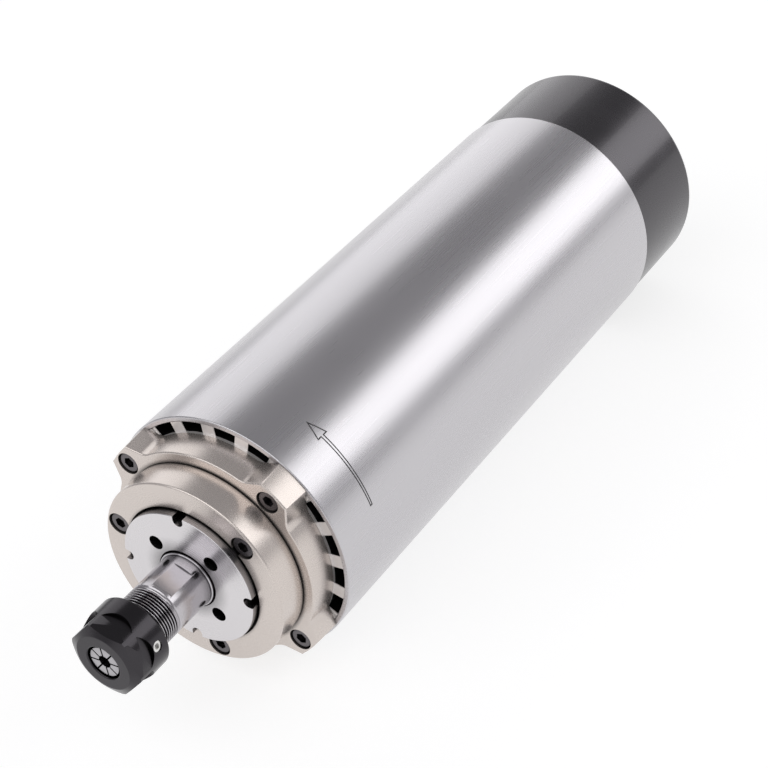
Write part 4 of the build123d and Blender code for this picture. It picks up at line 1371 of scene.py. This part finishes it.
@dataclass
class Studio:
    """The floor, the lamps, the surroundings and the camera of the photograph's view, in metres."""

    lens: float = 86.3
    sensor: float = 36.0
    place: tuple[float, float, float] = (0.24736, -0.2429, 0.25827)
    right: tuple[float, float, float] = (0.8308, 0.5340, -0.1570)
    up: tuple[float, float, float] = (-0.1900, 0.5372, 0.8218)
    floor_size: float = 12.0
    floor_colour: str = "#f4f4f4"
    paper_white: float = 1.24
    paper_share: float = 0.6
    room_colour: str = "#fcfbff"
    overhead: float = 0.3  # radiance of the surroundings, straight up
    horizon: float = 0.45
    low: float = 0.1  # height of the direction where the surroundings start to darken
    high: float = 0.55
    softboxes: tuple[Softbox, ...] = (
        Softbox("left_softbox", (-0.62, 0.653, 0.43), 1.15, 2.0, 0.92),
        Softbox("right_softbox", (0.613, 0.653, 0.445), 0.75, 2.0, 1.6),
        Softbox("front_softbox", (0.0, -0.65, 0.76), 2.4, 1.2, 1.4),
    )

    def build(self) -> None:
        """Puts up the camera, the floor, the world and the lamps."""
        self._camera()
        self._floor()
        self._world()
        centre = (CAD_BOX[0] + CAD_BOX[1]) / 2
        for box in self.softboxes:
            box.hang(centre)
        bpy.context.scene.view_settings.view_transform = "Standard"

    def _camera(self) -> None:
        """Places the camera by its right and up directions. It looks along its own -Z, up x right."""
        data = bpy.data.cameras.new("camera")
        data.lens, data.sensor_width, data.sensor_fit = self.lens, self.sensor, "HORIZONTAL"
        data.clip_start, data.clip_end = 0.01, 50.0
        camera = added("camera", data)
        right, up = Vector(self.right).normalized(), Vector(self.up).normalized()
        back = right.cross(up).normalized()
        aimed(camera, Vector(self.place), right, back.cross(right), back)
        bpy.context.scene.camera = camera

    def _floor(self) -> None:
        """Lays the floor under the sleeve: nearly white, shadow and all, seen directly or in metal."""
        half, low = self.floor_size / 2, CAD_BOX[0].z
        mesh = bpy.data.meshes.new("floor")
        corners = [(-half, -half, low), (half, -half, low), (half, half, low), (-half, half, low)]
        mesh.from_pydata(corners, [], [(0, 1, 2, 3)])
        floor = added("floor", mesh)
        made = bpy.data.materials.new("pale_paper_floor")
        tree = cleared(made)
        paper = add_node(tree, "ShaderNodeBsdfDiffuse", {"Color": linear(self.floor_colour)}).outputs[0]
        white = add_node(tree, "ShaderNodeEmission", {"Strength": self.paper_white}).outputs[0]
        rays = add_node(tree, "ShaderNodeLightPath").outputs
        seen = combined(tree, "MAXIMUM", rays["Is Camera Ray"], rays["Is Glossy Ray"])
        seen = combined(tree, "MAXIMUM", seen, rays["Is Transmission Ray"])
        share = combined(tree, "MULTIPLY", seen, self.paper_share)
        mixed = add_node(tree, "ShaderNodeMixShader", {0: share, 1: paper, 2: white}).outputs[0]
        add_node(tree, "ShaderNodeOutputMaterial", {"Surface": mixed})
        mesh.materials.append(made)

    def _world(self) -> None:
        """Surrounds the scene with grey that darkens upwards, so that metal shows the softboxes."""
        world = bpy.data.worlds.new("studio")
        tree = cleared(world)
        towards = add_node(tree, "ShaderNodeTexCoord").outputs["Generated"]
        height = add_node(tree, "ShaderNodeSeparateXYZ", {0: towards}).outputs["Z"]
        fall: Inputs = {0: height, 1: self.low, 2: self.high, 3: self.horizon, 4: self.overhead}
        level = add_node(tree, "ShaderNodeMapRange", fall, interpolation_type="SMOOTHSTEP").outputs[0]
        light: Inputs = {"Color": linear(self.room_colour), "Strength": level}
        room = add_node(tree, "ShaderNodeBackground", light).outputs[0]
        add_node(tree, "ShaderNodeOutputWorld", {"Surface": room})
        bpy.context.scene.world = world


def main() -> None:
    """Builds the studio and every sub-assembly, in order."""
    logging.basicConfig(level=logging.INFO, format="%(name)s: %(message)s")
    for kind in (
        Studio, SleeveTube, FrontBell, BearingCap, SpindleShaft, ColletChuck, RearCover, PanelSocket, Inside
    ):
        kind().build()
        log.info("%s done", kind.__name__)


if __name__ == "__main__":
    main()
